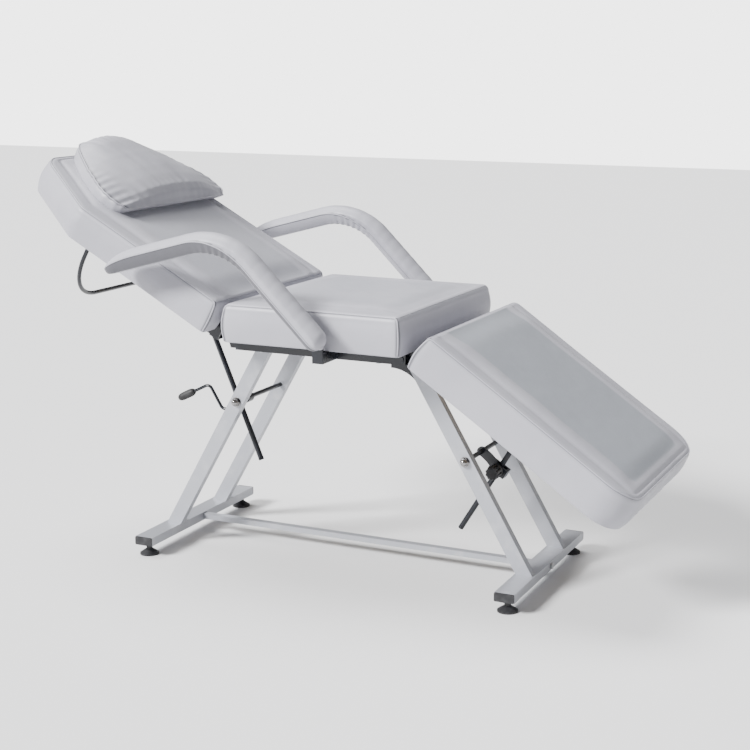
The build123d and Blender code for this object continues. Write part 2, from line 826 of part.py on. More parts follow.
def arm_core():
    """The steel bar inside the armrest, with two tapped bosses towards the seat."""
    core = arm_band(arm_core_lift, arm_core_thickness, arm_core_width / 2)
    face = arm_plate_outer_y()
    for x, z in arm_bolt_places():
        core += rod_y(x, z, face, arm_centre_y, arm_boss_radius)
        core -= rod_y(x, z, face - overrun, arm_centre_y, arm_bolt_radius + running_fit)
    return core


def arm_plate_outer_y():
    return arm_centre_y - arm_width / 2 - slip_gap


def arm_bracket():
    """The plate that stands on a bar across the seat frame's side and holds the armrest."""
    outer = arm_plate_outer_y()
    inner = outer - arm_plate_thickness
    (x0, z0), (x1, z1) = arm_bolt_places()
    pad = arm_plate_margin
    upright = plate_xz(
        [
            (x0 - pad, frame_underside), (x0 + pad, frame_underside), (x0 + pad, z0),
            (x1 + pad, z1), (x1, z1 + pad), (x1 - pad, z1), (x0 - pad, z0 - pad),
        ],
        inner, outer,
    )
    bar = span(x0 - pad, x0 + pad, rail_outer_y, inner, frame_underside, frame_underside + frame_tube - side_gap)
    for x, z in arm_bolt_places():
        upright -= rod_y(x, z, inner - overrun, outer + overrun, arm_bolt_radius + running_fit)
    return upright + bar


def arm_bolts():
    """The button-headed bolts that hold one armrest."""
    inner = arm_plate_outer_y() - arm_plate_thickness
    bolts = []
    for x, z in arm_bolt_places():
        shank = rod_y(x, z, inner, arm_centre_y - slip_gap, arm_bolt_radius)
        head = rod_y(x, z, inner - arm_bolt_head, inner, bolt_head_radius)
        bolts.append(shank + head)
    return Compound(children=[*bolts, *[mirrored(bolt) for bolt in bolts]])


# Backrest, in its flat pose

def back_board():
    panel = board(*back_board_span(), back_board_half(), back_underside)
    return drilled(panel, back_bolt_places(), back_underside - frame_tube)


def head_pivot_flat():
    return back_hinge_x - head_pivot_back, back_underside - strut_pivot_reach


def back_frame():
    """The swinging frame under the backrest, with its hinge lugs and the strut's ears."""
    low = back_underside - frame_tube
    lug_y = swing_rail_outer_y + plate_thickness
    front_x = back_hinge_x + hinge_plate_radius
    end_x = back_start_x() - back_taper_start - frame_tube
    rail = box_tube_x(end_x, front_x, swing_rail_inner_y, swing_rail_outer_y, low)
    frame = rail + mirrored(rail)
    first = back_hinge_x - hinge_plate_radius - 2 * side_gap
    pivot_x = head_pivot_flat()[0]
    for x in (first, pivot_x - lug_radius - side_gap, end_x + frame_tube):
        frame += box_tube_y(x - frame_tube, x, swing_rail_inner_y, low)
    lug = rod_y(back_hinge_x, back_hinge_z, swing_rail_outer_y, lug_y, hinge_plate_radius)
    lug += span(
        back_hinge_x - hinge_plate_radius, front_x, swing_rail_outer_y, lug_y, low, back_hinge_z,
    )
    lug -= hinge_hole(back_hinge_x, back_hinge_z, swing_rail_outer_y, lug_y)
    frame += lug
    frame += mirrored(lug)
    frame += strut_ears(head_pivot_flat(), head_strut_y, pivot_x - lug_radius - side_gap)
    return drilled(frame, back_bolt_places(), low)


def strut_ears(pivot, strut_y, wall_x):
    """Two ears that reach from a cross tube at wall_x to either side of a strut's eye."""
    x, z = pivot
    ears = []
    gap = strut_radius + slip_gap
    for side in (-1, 1):
        ys = sorted((strut_y + side * gap, strut_y + side * (gap + lug_thickness)))
        ear = rod_y(x, z, *ys, lug_radius) + span(wall_x, x, *ys, z - lug_radius, z + strut_ear_rise)
        ears.append(ear - rod_y(x, z, ys[0] - overrun, ys[1] + overrun, strut_pin_radius + running_fit))
    return Compound(children=ears)


def strut_pin(pivot, strut_y):
    """The pin through a strut's eye and its two ears."""
    x, z = pivot
    reach = strut_radius + slip_gap + lug_thickness + running_fit
    shank = rod_y(x, z, strut_y - reach, strut_y + reach, strut_pin_radius)
    heads = [
        rod_y(x, z, *sorted((strut_y + side * reach, strut_y + side * (reach + pin_head_height))), pin_head_radius)
        for side in (-1, 1)
    ]
    return shank + heads[0] + heads[1]


def pillow():
    """The tapered headrest pillow, its noses raised at both ends, seated on the crowned backrest."""
    level = back_underside + back_thickness
    near = back_start_x() - pillow_start
    sections = []
    for share, width_share, underside, top in pillow_rows:
        half = pillow_head_width / 2 + (pillow_width - pillow_head_width) / 2 * width_share
        sections.append(pillow_section(near - pillow_length * share, half, level + underside, level + top))
    return Pos(0, pillow_offset, 0) * loft(sections, ruled=True) - back_cushion()


def pillow_section(x, half, low, high):
    """One cross-section of the pillow: flat base, short bowed sides and a deep crown."""
    shoulder = low + (high - low) * pillow_shoulder_share
    edges = [
        Line((x, -half + side_tuck, low), (x, half - side_tuck, low)),
        ThreePointArc((x, half - side_tuck, low), (x, half, (low + shoulder) / 2), (x, half - side_draw, shoulder)),
        ThreePointArc((x, half - side_draw, shoulder), (x, 0, high), (x, side_draw - half, shoulder)),
        ThreePointArc((x, side_draw - half, shoulder), (x, -half, (low + shoulder) / 2), (x, side_tuck - half, low)),
    ]
    return Face(Wire(edges))


def roll_hoop():
    """The U-shaped rod under the backrest that carries a paper roll or steadies the head end."""
    x = back_start_x() - hoop_station
    top = back_underside - hoop_flange_thickness
    bottom = back_underside - hoop_depth
    half = hoop_half_width
    corner = FilletPolyline(
        (x, -half, top), (x, -half, bottom), (x, half, bottom), (x, half, top), radius=hoop_corner_radius,
    )
    profile = Plane(origin=(x, -half, top), z_dir=(0, 0, -1)) * Circle(hoop_rod_radius)
    return sweep(profile, path=corner)


def hoop_flanges():
    """The round feet that screw the hoop to the back board."""
    x = back_start_x() - hoop_station
    low = back_underside - hoop_flange_thickness
    discs = [rod_z(x, side * hoop_half_width, low, back_underside, hoop_flange_radius) for side in (-1, 1)]
    return Compound(children=discs)


# Leg rest, in its flat pose

def leg_cushion():
    half = leg_rest_width / 2
    x0, x1 = leg_start_x, leg_start_x + leg_length
    seat_end = end_stations(x0, 1, half)
    middle = [(x0 + leg_length / 2, x0 + leg_length / 2, half - side_draw, 0.0, crown)]
    corner = []
    for turn, drop_share, crown_share in zip(leg_corner_angles, leg_corner_drop_shares, leg_corner_crown_shares):
        reach = leg_corner_radius * sin(radians(turn))
        inset = leg_corner_radius * (1 - cos(radians(turn)))
        x = x1 - leg_corner_radius + reach
        corner.append((x, x, half - inset, end_radius * drop_share, crown * crown_share))
    form = cushion(seat_end + middle + corner, seat_underside, seat_underside + seat_thickness)
    return with_board_pocket(form, *leg_board_span(), leg_board_half(), seat_underside)


def leg_board_span():
    return leg_start_x + board_margin, leg_start_x + leg_length - leg_corner_radius - board_margin


def leg_board_half():
    return leg_rest_width / 2 - board_margin - side_draw


def leg_board():
    panel = board(*leg_board_span(), leg_board_half(), seat_underside)
    return drilled(panel, leg_bolt_places(), frame_underside)


def foot_pivot_flat():
    return leg_hinge_x + foot_pivot_out, seat_underside - strut_pivot_reach


def leg_frame():
    """The swinging frame under the leg rest, with its hinge arms and the strut's ears."""
    low = frame_underside
    start_x = leg_hinge_x + frame_tube + side_gap
    rail = box_tube_x(start_x, leg_frame_end_x, swing_rail_inner_y, swing_rail_outer_y, low)
    frame = rail + mirrored(rail)
    wall_x = foot_pivot_flat()[0] + lug_radius + side_gap
    for x in (start_x, wall_x, leg_frame_end_x - frame_tube):
        frame += box_tube_y(x, x + frame_tube, swing_rail_inner_y, low)
    arm_y = swing_rail_outer_y + plate_thickness
    arm = rod_y(leg_hinge_x, leg_hinge_z, swing_rail_outer_y, arm_y, leg_arm_radius)
    arm += span(
        leg_hinge_x, leg_hinge_x + leg_arm_length, swing_rail_outer_y, arm_y,
        leg_hinge_z - leg_arm_radius, leg_hinge_z + leg_arm_radius,
    )
    arm -= hinge_hole(leg_hinge_x, leg_hinge_z, swing_rail_outer_y, arm_y)
    frame += arm
    frame += mirrored(arm)
    frame += strut_ears(foot_pivot_flat(), foot_strut_y, wall_x)
    return drilled(frame, leg_bolt_places(), low)


# Struts and clamps, in the rest pose

def strut_lean(pivot, centre, offset):
    """How far a strut leans from upright so that it passes a clamp's centre at an offset."""
    dx, dz = pivot[0] - centre[0], pivot[1] - centre[1]
    along = sqrt(dx * dx + dz * dz - offset * offset)
    return degrees(atan2(dx, dz)) + degrees(atan2(offset, along))


def strut(pivot, lean, y, length):
    """A round bar with an eye at its top and a cross pin at its lower end."""
    x, z = pivot
    end = (x - length * sin(radians(lean)), y, z - length * cos(radians(lean)))
    neck = (strut_eye_radius + strut_pin_radius) / 2
    start = (x - neck * sin(radians(lean)), y, z - neck * cos(radians(lean)))
    bar = rod_between(start, end, strut_radius)
    bar += rod_y(x, z, y - strut_radius, y + strut_radius, strut_eye_radius)
    bar -= rod_y(x, z, y - strut_radius - overrun, y + strut_radius + overrun, strut_pin_radius + running_fit)
    inset = 2 * end_pin_radius
    pin_x, pin_z = end[0] + inset * sin(radians(lean)), end[2] + inset * cos(radians(lean))
    reach = strut_radius + 2 * end_pin_radius
    return bar + rod_y(pin_x, pin_z, y - reach, y + reach, end_pin_radius)


def leaned(shape, centre, lean):
    """A piece drawn beside an upright strut, turned to the strut's lean."""
    axis = Axis((centre[0], 0, centre[1]), (0, 1, 0))
    return shape.rotate(axis, lean)


def head_clamp():
    """The block that swivels on the head cross rod; its slot lets the strut slide and rock."""
    cx, cz = head_rod_x, head_rod_height
    rise = clamp_length / 2
    hole = strut_radius + slip_gap + running_fit
    half_y = hole + clamp_wall
    far = cx - head_strut_offset - hole - clamp_wall
    hub_radius = cross_rod_radius + clamp_wall
    block = span(far, cx, head_strut_y - half_y, head_strut_y + half_y, cz - rise, cz + rise)
    block += rod_y(cx, cz, head_strut_y - half_y, head_strut_y + half_y, hub_radius)
    slot = span(
        cx - head_strut_offset - hole, cx - head_strut_offset + strut_radius + head_slot_play,
        head_strut_y - hole, head_strut_y + hole, cz - rise - overrun, cz + rise + overrun,
    )
    block -= slot
    block -= rod_y(
        cx, cz, head_strut_y - half_y - overrun, head_strut_y + half_y + overrun, cross_rod_radius + running_fit,
    )
    return leaned(block, (cx, cz), head_lean)


def foot_clamp():
    """The block round the foot strut, with a hollow stub that swivels in the bracket."""
    cx, cz = foot_clamp_x, foot_clamp_z
    rise = clamp_length / 2
    hole = strut_radius + slip_gap
    half_y = foot_clamp_half_y()
    half_x = hole + foot_slot_play + clamp_wall
    block = span(cx - half_x, cx + half_x, foot_strut_y - half_y, foot_strut_y + half_y, cz - rise, cz + rise)
    block -= span(
        cx - hole - foot_slot_play, cx + hole + foot_slot_play,
        foot_strut_y - hole, foot_strut_y + hole, cz - rise - overrun, cz + rise + overrun,
    )
    stub_end = foot_strut_y - half_y - 2 * slip_gap - lug_thickness
    block += rod_y(cx, cz, stub_end, foot_strut_y - half_y, foot_stub_radius)
    block -= rod_y(cx, cz, stub_end - overrun, foot_strut_y - hole, knob_screw_radius + running_fit)
    return leaned(block, (cx, cz), foot_lean)


def foot_clamp_half_y():
    return strut_radius + slip_gap + clamp_wall


def foot_bracket():
    """The curved plate that carries the foot clamp, welded to the foot cross rod."""
    y1 = foot_strut_y - foot_clamp_half_y() - slip_gap
    y0 = y1 - lug_thickness
    half = bracket_width / 2
    rod, end = (foot_rod_x, foot_rod_height), (foot_clamp_x, foot_clamp_z)
    dx, dz = end[0] - rod[0], end[1] - rod[1]
    reach = hypot(dx, dz)
    ux, uz = dx / reach, dz / reach
    nx, nz = -uz, ux

    def at(along, across):
        return (rod[0] + ux * along + nx * across, y0, rod[1] + uz * along + nz * across)

    outline = Wire([
        ThreePointArc(at(0, half), at(reach / 2, half + bracket_bow), at(reach, half)),
        Line(at(reach, half), at(reach, -half)),
        ThreePointArc(at(reach, -half), at(reach / 2, bracket_bow - half), at(0, -half)),
        Line(at(0, -half), at(0, half)),
    ])
    plate = extrude(make_face(outline), amount=lug_thickness, dir=(0, 1, 0))
    plate += rod_y(*rod, y0, y1, half)
    plate += rod_y(*end, y0, y1, half)
    plate -= rod_y(*rod, y0 - overrun, y1 + overrun, cross_rod_radius + running_fit)
    return plate - rod_y(*end, y0 - overrun, y1 + overrun, foot_stub_radius + running_fit)


def foot_knob():
    """The ribbed knob that a hand turns to grip the foot strut."""
    near = knob_inner_y()
    cx, cz = foot_clamp_x, foot_clamp_z
    knob = rod_y(cx, cz, near - knob_length, near, knob_radius)
    knob = fillet(knob.edges().sort_by(Axis.Y)[0], knob_groove_radius)
    for turn in range(knob_ribs):
        angle = 2 * pi * turn / knob_ribs
        x, z = cx + knob_radius * cos(angle), cz + knob_radius * sin(angle)
        knob -= rod_y(x, z, near - knob_length - overrun, near - knob_length / 4, knob_groove_radius)
    return knob - rod_y(cx, cz, near - knob_length / 2, near + overrun, knob_screw_radius)


def knob_inner_y():
    return foot_strut_y - foot_clamp_half_y() - 2 * slip_gap - lug_thickness - slip_gap - knob_standoff


def foot_knob_screw():
    """The screw held in the knob, which runs through the bracket and clamp to the strut."""
    tip = foot_strut_y - strut_radius - slip_gap - running_fit
    return rod_y(foot_clamp_x, foot_clamp_z, knob_inner_y() - knob_length / 2, tip, knob_screw_radius)


def lever_point(place):
    return (head_rod_x + place[0], lever_y, head_rod_height + place[1])


def lock_lever():
    """The bent rod on the head cross rod that locks the head clamp."""
    hub = rod_y(head_rod_x, head_rod_height, lever_y - lever_hub_length / 2, lever_y + lever_hub_length / 2, lever_hub_radius)
    path = FilletPolyline(
        lever_point((0, 0)), lever_point(lever_root), lever_point(lever_rise), lever_point(lever_fall),
        radius=lever_bend_radius,
    )
    plane = Plane(origin=path @ 0, z_dir=path % 0)
    rod = sweep(plane * Circle(lever_rod_radius), path=path)
    lever = hub + rod
    bore_y = lever_hub_length / 2 + overrun
    return lever - rod_y(
        head_rod_x, head_rod_height, lever_y - bore_y, lever_y + bore_y, cross_rod_radius + running_fit,
    )


def lever_grip():
    """The tapered grip on the lever's end."""
    start = Vector(*lever_point(lever_fall))
    plane = Plane(origin=start, z_dir=start - Vector(*lever_point(lever_rise)))
    sections = [plane.offset(grip_length * along) * Circle(grip_radius * thick) for along, thick in grip_shares]
    return loft(sections)


def foot_nodes():
    nodes = {}
    for number, (x, y) in enumerate(foot_places(), start=1):
        nodes[f"levelling_foot_{number}"] = levelling_foot(x, y)
    nodes["foot_inserts"] = Compound(children=[foot_insert(x, y) for x, y in foot_places()])
    return nodes


def base_nodes():
    rods = [(head_rod_x, head_rod_height), (foot_rod_x, foot_rod_height)]
    return {
        "head_floor_bar": base_bar(-bar_spacing / 2),
        "foot_floor_bar": base_bar(bar_spacing / 2),
        "floor_bar_caps": bar_caps(),
        "stretcher": stretcher(),
        "stretcher_plugs": stretcher_plugs(),
        "stretcher_bolts": stretcher_bolts(),
        "head_leg_right": leg_tube(head_leg_x, head_leg_run, -1),
        "head_leg_left": leg_tube(head_leg_x, head_leg_run, 1),
        "foot_leg_right": leg_tube(foot_leg_x, -foot_leg_run, -1),
        "foot_leg_left": leg_tube(foot_leg_x, -foot_leg_run, 1),
        "head_cross_rod": cross_rod(*rods[0]),
        "foot_cross_rod": cross_rod(*rods[1]),
        "leg_washers": Compound(children=[leg_washer(x, z, side) for x, z in rods for side in (-1, 1)]),
        "dome_nuts": Compound(children=[dome_nut(x, z, side) for x, z in rods for side in (-1, 1)]),
        "leg_gussets": both_sides(gusset()),
    }


def seat_nodes():
    plate = back_hinge_plate()
    leg_pin = hinge_pin(leg_hinge_x, leg_hinge_z, swing_rail_outer_y, rail_outer_y)
    return {
        "seat_frame": seat_frame(),
        "back_hinge_plates": both_sides(plate),
        "leg_hinge_pins": both_sides(leg_pin),
        "seat_board": seat_board(),
        "seat_board_bolts": board_bolts(seat_bolt_places(), frame_underside),
        "seat_cushion": seat_cushion(),
        "arm_pad_left": arm_pad(),
        "arm_pad_right": mirrored(arm_pad()),
        "arm_cores": both_sides(arm_core()),
        "arm_brackets": both_sides(arm_bracket()),
        "arm_bolts": arm_bolts(),
    }


def back_nodes():
    low = back_underside - frame_tube
    pin = hinge_pin(back_hinge_x, back_hinge_z, swing_rail_outer_y, rail_inner_y + plate_thickness)
    flat = {
        "back_frame": back_frame(),
        "back_board": back_board(),
        "back_board_bolts": board_bolts(back_bolt_places(), low),
        "back_cushion": back_cushion(),
        "headrest_pillow": pillow(),
        "roll_hoop": roll_hoop(),
        "hoop_flanges": hoop_flanges(),
        "back_hinge_pins": both_sides(pin),
        "head_strut_pin": strut_pin(head_pivot_flat(), head_strut_y),
    }
    return {name: raised(shape) for name, shape in flat.items()}


def leg_rest_nodes():
    flat = {
        "leg_frame": leg_frame(),
        "leg_board": leg_board(),
        "leg_board_bolts": board_bolts(leg_bolt_places(), frame_underside),
        "leg_cushion": leg_cushion(),
        "foot_strut_pin": strut_pin(foot_pivot_flat(), foot_strut_y),
    }
    return {name: lowered(shape) for name, shape in flat.items()}


def strut_nodes():
    return {
        "head_strut": strut(head_pivot, head_lean, head_strut_y, head_strut_length),
        "head_clamp": head_clamp(),
        "lock_lever": lock_lever(),
        "lever_grip": lever_grip(),
        "foot_strut": strut(foot_pivot, foot_lean, foot_strut_y, foot_strut_length),
        "foot_clamp": foot_clamp(),
        "foot_bracket": foot_bracket(),
        "foot_knob": foot_knob(),
        "foot_knob_screw": foot_knob_screw(),
    }


head_pivot = turned(head_pivot_flat(), (back_hinge_x, back_hinge_z), back_rest_angle)
foot_pivot = turned(foot_pivot_flat(), (leg_hinge_x, leg_hinge_z), leg_rest_angle)
head_lean = strut_lean(head_pivot, (head_rod_x, head_rod_height), head_strut_offset)
foot_lean = strut_lean(foot_pivot, (foot_clamp_x, foot_clamp_z), 0)


def centred(nodes):
    """The nodes moved along X, so that the origin lies under the middle of the whole part."""
    boxes = [shape.bounding_box() for shape in nodes.values()]
    middle = (min(box.min.X for box in boxes) + max(box.max.X for box in boxes)) / 2
    middle = round(middle / origin_step) * origin_step
    moved = {name: [Pos(-middle, 0, 0) * solid for solid in shape.solids()] for name, shape in nodes.items()}
    return {name: solids[0] if len(solids) == 1 else Compound(solids) for name, solids in moved.items()}


def main():
    os.makedirs("parts", exist_ok=True)
    nodes = {**foot_nodes(), **base_nodes(), **seat_nodes(), **back_nodes(), **leg_rest_nodes(), **strut_nodes()}
    for name, shape in centred(nodes).items():
        export_step(shape, f"parts/{name}.step")


main()
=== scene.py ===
"""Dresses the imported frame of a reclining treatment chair: padded vinyl, piping, paint and metal."""

import logging
import math
from dataclasses import dataclass, field
from enum import Enum
from typing import Optional, Sequence

import bmesh
import bpy
import numpy as np
from mathutils import Matrix, Vector, noise
from mathutils.kdtree import KDTree


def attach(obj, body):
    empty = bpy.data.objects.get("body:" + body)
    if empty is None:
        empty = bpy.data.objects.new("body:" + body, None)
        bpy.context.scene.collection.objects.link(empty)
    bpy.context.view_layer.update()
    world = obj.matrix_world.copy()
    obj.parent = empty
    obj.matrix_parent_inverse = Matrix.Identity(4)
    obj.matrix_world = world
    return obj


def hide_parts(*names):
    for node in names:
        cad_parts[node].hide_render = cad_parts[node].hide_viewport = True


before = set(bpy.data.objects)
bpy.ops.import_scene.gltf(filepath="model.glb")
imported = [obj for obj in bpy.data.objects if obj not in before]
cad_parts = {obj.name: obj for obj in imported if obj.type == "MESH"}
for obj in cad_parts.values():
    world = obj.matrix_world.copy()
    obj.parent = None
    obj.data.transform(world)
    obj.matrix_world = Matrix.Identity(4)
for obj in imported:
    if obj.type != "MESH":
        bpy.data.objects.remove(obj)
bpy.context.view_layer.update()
log = logging.getLogger("chair")

Face = tuple[int, ...]
Spot = tuple[int, int]
Triple = tuple[float, float, float]
Box = tuple[float, float, float, float, float, float]
Piece = bpy.types.Object
Material = bpy.types.Material
Socket = bpy.types.NodeSocket

SMOOTH_ANGLE = math.radians(38.0)
TINY = 1e-12
WHOLE = (0.0, 1.0)
MIDDLE = (0.3, 0.7)
BOX_FACES = [(0, 1, 3, 2), (4, 6, 7, 5), (0, 4, 5, 1), (2, 3, 7, 6), (0, 2, 6, 4), (1, 5, 7, 3)]


# Mesh helpers

def shade(piece: Piece, name: str, values: np.ndarray) -> None:
    """Writes a number to each vertex under a name that the vinyl reads."""
    attribute = piece.data.attributes.new(name, "FLOAT", "POINT")
    attribute.data.foreach_set("value", values.astype(np.float32))


def blank(name: str, points: np.ndarray, faces: Sequence[Face]) -> Piece:
    """Makes a smooth-shaded mesh object.

    Args:
        name: the piece's name.
        points: one row of X, Y, Z per vertex, in metres.
        faces: vertex numbers of each face.

    Returns:
        The new object, linked to the scene.
    """
    mesh = bpy.data.meshes.new(name)
    mesh.from_pydata([tuple(p) for p in points], [], [tuple(f) for f in faces])
    mesh.validate()
    mesh.shade_smooth()
    piece = bpy.data.objects.new(name, mesh)
    bpy.context.scene.collection.objects.link(piece)
    return piece


def applied(piece: Piece) -> None:
    """Turns a piece's modifiers into its mesh.

    Args:
        piece: the object whose modifiers are used up.
    """
    graph = bpy.context.evaluated_depsgraph_get()
    made = bpy.data.meshes.new_from_object(piece.evaluated_get(graph))
    piece.modifiers.clear()
    piece.data = made


def smoothed(piece: Piece) -> None:
    """Subdivides a piece once.

    Args:
        piece: the mesh object.
    """
    smooth = piece.modifiers.new("smooth", "SUBSURF")
    smooth.levels = smooth.render_levels = 1
    applied(piece)


def face_out(piece: Piece) -> None:
    """Turns the piece's faces outward.

    Args:
        piece: a closed mesh.
    """
    work = bmesh.new()
    work.from_mesh(piece.data)
    bmesh.ops.recalc_face_normals(work, faces=work.faces)
    work.to_mesh(piece.data)
    work.free()


def positions(mesh: bpy.types.Mesh) -> np.ndarray:
    """Reads the vertex positions of a mesh.

    Args:
        mesh: the mesh.

    Returns:
        One row of X, Y, Z per vertex.
    """
    flat = np.zeros(len(mesh.vertices) * 3, np.float32)
    mesh.vertices.foreach_get("co", flat)
    return flat.reshape(-1, 3).astype(float)


def set_positions(piece: Piece, points: np.ndarray) -> None:
    """Writes a mesh object's vertex positions, one row of X, Y, Z each."""
    piece.data.vertices.foreach_set("co", points.astype(np.float32).ravel())
    piece.data.update()


def ring_faces(first: Sequence[int], second: Sequence[int]) -> list[Face]:
    """Joins two closed rings of vertices with quads.

    Args:
        first: vertex numbers of one ring.
        second: vertex numbers of the other, in the same order.

    Returns:
        The faces between them.
    """
    count = len(first)
    return [
        (first[k], first[(k + 1) % count], second[(k + 1) % count], second[k])
        for k in range(count)
    ]


def stacked(last: Sequence[int], rings: Sequence[np.ndarray], base: int) -> tuple[list[Face], list[int]]:
    """Joins rings of new vertices onto a ring, one after another.

    Args:
        last: vertex numbers of the ring that they start from.
        rings: the points of each new ring.
        base: the number of the first new vertex.

    Returns:
        The faces, and the vertex numbers of the last ring.
    """
    faces: list[Face] = []
    for ring in rings:
        now = list(range(base, base + len(ring)))
        faces += ring_faces(last, now)
        last, base = now, base + len(ring)
    return faces, list(last)


def tube(path: np.ndarray, radius: float, closed: bool, sides: int = 8) -> tuple[np.ndarray, list[Face]]:
    """Sweeps a round section along a path.

    Args:
        path: the points that the middle of the tube follows.
        radius: the tube's radius.
        closed: whether the path ends where it starts.
        sides: the number of flats round the section.

    Returns:
        The vertices and faces of the tube.
    """
    count = len(path)
    if closed:
        ahead, behind = np.roll(path, -1, 0), np.roll(path, 1, 0)
    else:
        ahead = np.vstack([path[1:], path[-1:]])
        behind = np.vstack([path[:1], path[:-1]])
    heading = ahead - behind
    heading /= np.linalg.norm(heading, axis=1)[:, None]
    across = np.cross(heading[0], (0.0, 0.0, 1.0))
    nearly_upright = 0.1
    if np.linalg.norm(across) < nearly_upright:
        across = np.cross(heading[0], (0.0, 1.0, 0.0))
    points = []
    for k in range(count):
        across = across - heading[k] * float(across @ heading[k])
        across = across / np.linalg.norm(across)
        other = np.cross(heading[k], across)
        for s in range(sides):
            turn = math.tau * s / sides
            points.append(path[k] + radius * (math.cos(turn) * across + math.sin(turn) * other))
    rings = np.arange(count * sides).reshape(count, sides).tolist()
    faces: list[Face] = []
    for k in range(count if closed else count - 1):
        faces += ring_faces(rings[(k + 1) % count], rings[k])
    if not closed:
        faces.append(tuple(rings[0]))
        faces.append(tuple(reversed(rings[-1])))
    return np.array(points), faces


def evened(path: np.ndarray, pitch: float, closed: bool, fewest: int = 8) -> np.ndarray:
    """Spaces the points of a path evenly.

    Args:
        path: the points as they are.
        pitch: the wanted distance between points.
        closed: whether the path ends where it starts.
        fewest: the fewest steps that it is given.

    Returns:
        The path's new points.
    """
    line = np.vstack([path, path[:1]]) if closed else path
    runs = np.concatenate([[0.0], np.cumsum(np.linalg.norm(np.diff(line, axis=0), axis=1))])
    count = max(fewest, int(round(runs[-1] / pitch)))
    at = np.linspace(0.0, runs[-1], count + 1)
    spaced = np.stack([np.interp(at, runs, line[:, axis]) for axis in range(3)], 1)
    return spaced[:-1] if closed else spaced


def eased(path: np.ndarray, rounds: int, closed: bool) -> np.ndarray:
    """Rounds the kinks of a path by averaging neighbours.

    Args:
        path: the points as they are.
        rounds: how many times they are averaged.
        closed: whether the path ends where it starts.

    Returns:
        The smoother path.
    """
    line = path.copy()
    for _ in range(rounds):
        if closed:
            line = (np.roll(line, 1, 0) + 2 * line + np.roll(line, -1, 0)) / 4
        else:
            line[1:-1] = (line[:-2] + 2 * line[1:-1] + line[2:]) / 4
    return line


def arc_through(
    first: Sequence[float], middle: Sequence[float], last: Sequence[float], count: int,
) -> np.ndarray:
    """Samples the circle's arc through three points of a section.

    Args:
        first: the arc's start, across and up.
        middle: a point on it.
        last: its end.
        count: the number of steps.

    Returns:
        The points from the start up to but without the end.
    """
    (ax, ay), (bx, by), (cx, cy) = first, middle, last
    d = 2 * (ax * (by - cy) + bx * (cy - ay) + cx * (ay - by))
    if abs(d) < TINY:
        share = np.arange(count)[:, None] / count
        return np.array(first) * (1 - share) + np.array(last) * share
    a2, b2, c2 = ax * ax + ay * ay, bx * bx + by * by, cx * cx + cy * cy
    ux = (a2 * (by - cy) + b2 * (cy - ay) + c2 * (ay - by)) / d
    uy = (a2 * (cx - bx) + b2 * (ax - cx) + c2 * (bx - ax)) / d
    start, mid, end = (math.atan2(p[1] - uy, p[0] - ux) for p in (first, middle, last))
    sweep = (end - start) % math.tau
    if (mid - start) % math.tau > sweep:
        sweep -= math.tau
    radius = math.hypot(ax - ux, ay - uy)
    turns = start + sweep * np.arange(count) / count
    return np.stack([ux + radius * np.cos(turns), uy + radius * np.sin(turns)], 1)


def smoothstep(value: np.ndarray) -> np.ndarray:
    """Returns value eased from 0 to 1."""
    t = np.clip(value, 0.0, 1.0)
    return t * t * (3 - 2 * t)


def bell(value: np.ndarray) -> np.ndarray:
    """Returns 1 where value is 0, falling smoothly to either side."""
    return np.exp(-(value ** 2))


@dataclass(frozen=True)
class Waves:
    """Smooth, uneven waves in a cover: how many fit in a metre each way, and how high they are."""

    scale: Triple
    height: float
    shift: float = 0.0

    def at(self, points: np.ndarray, seed: float) -> np.ndarray:
        """Samples the waves.

        Args:
            points: where they are sampled, in metres.
            seed: an offset that gives each piece its own pattern.

        Returns:
            One height per point.
        """
        stretched = points * np.array(self.scale) + (seed + self.shift)
        return np.array([noise.noise(Vector(p)) for p in stretched]) * self.height


# Finishes

@dataclass(frozen=True)
class Texture:
    """A noise or cell texture: features in a metre, finer layers, and its stretch along each axis."""

    scale: float
    detail: float = 2.0
    stretch: Optional[Triple] = None
    cells: bool = False


@dataclass(frozen=True)
class Relief:
    """Fine relief: its texture, its depth in metres, and how much of it shows."""

    texture: Texture
    depth: float
    strength: float


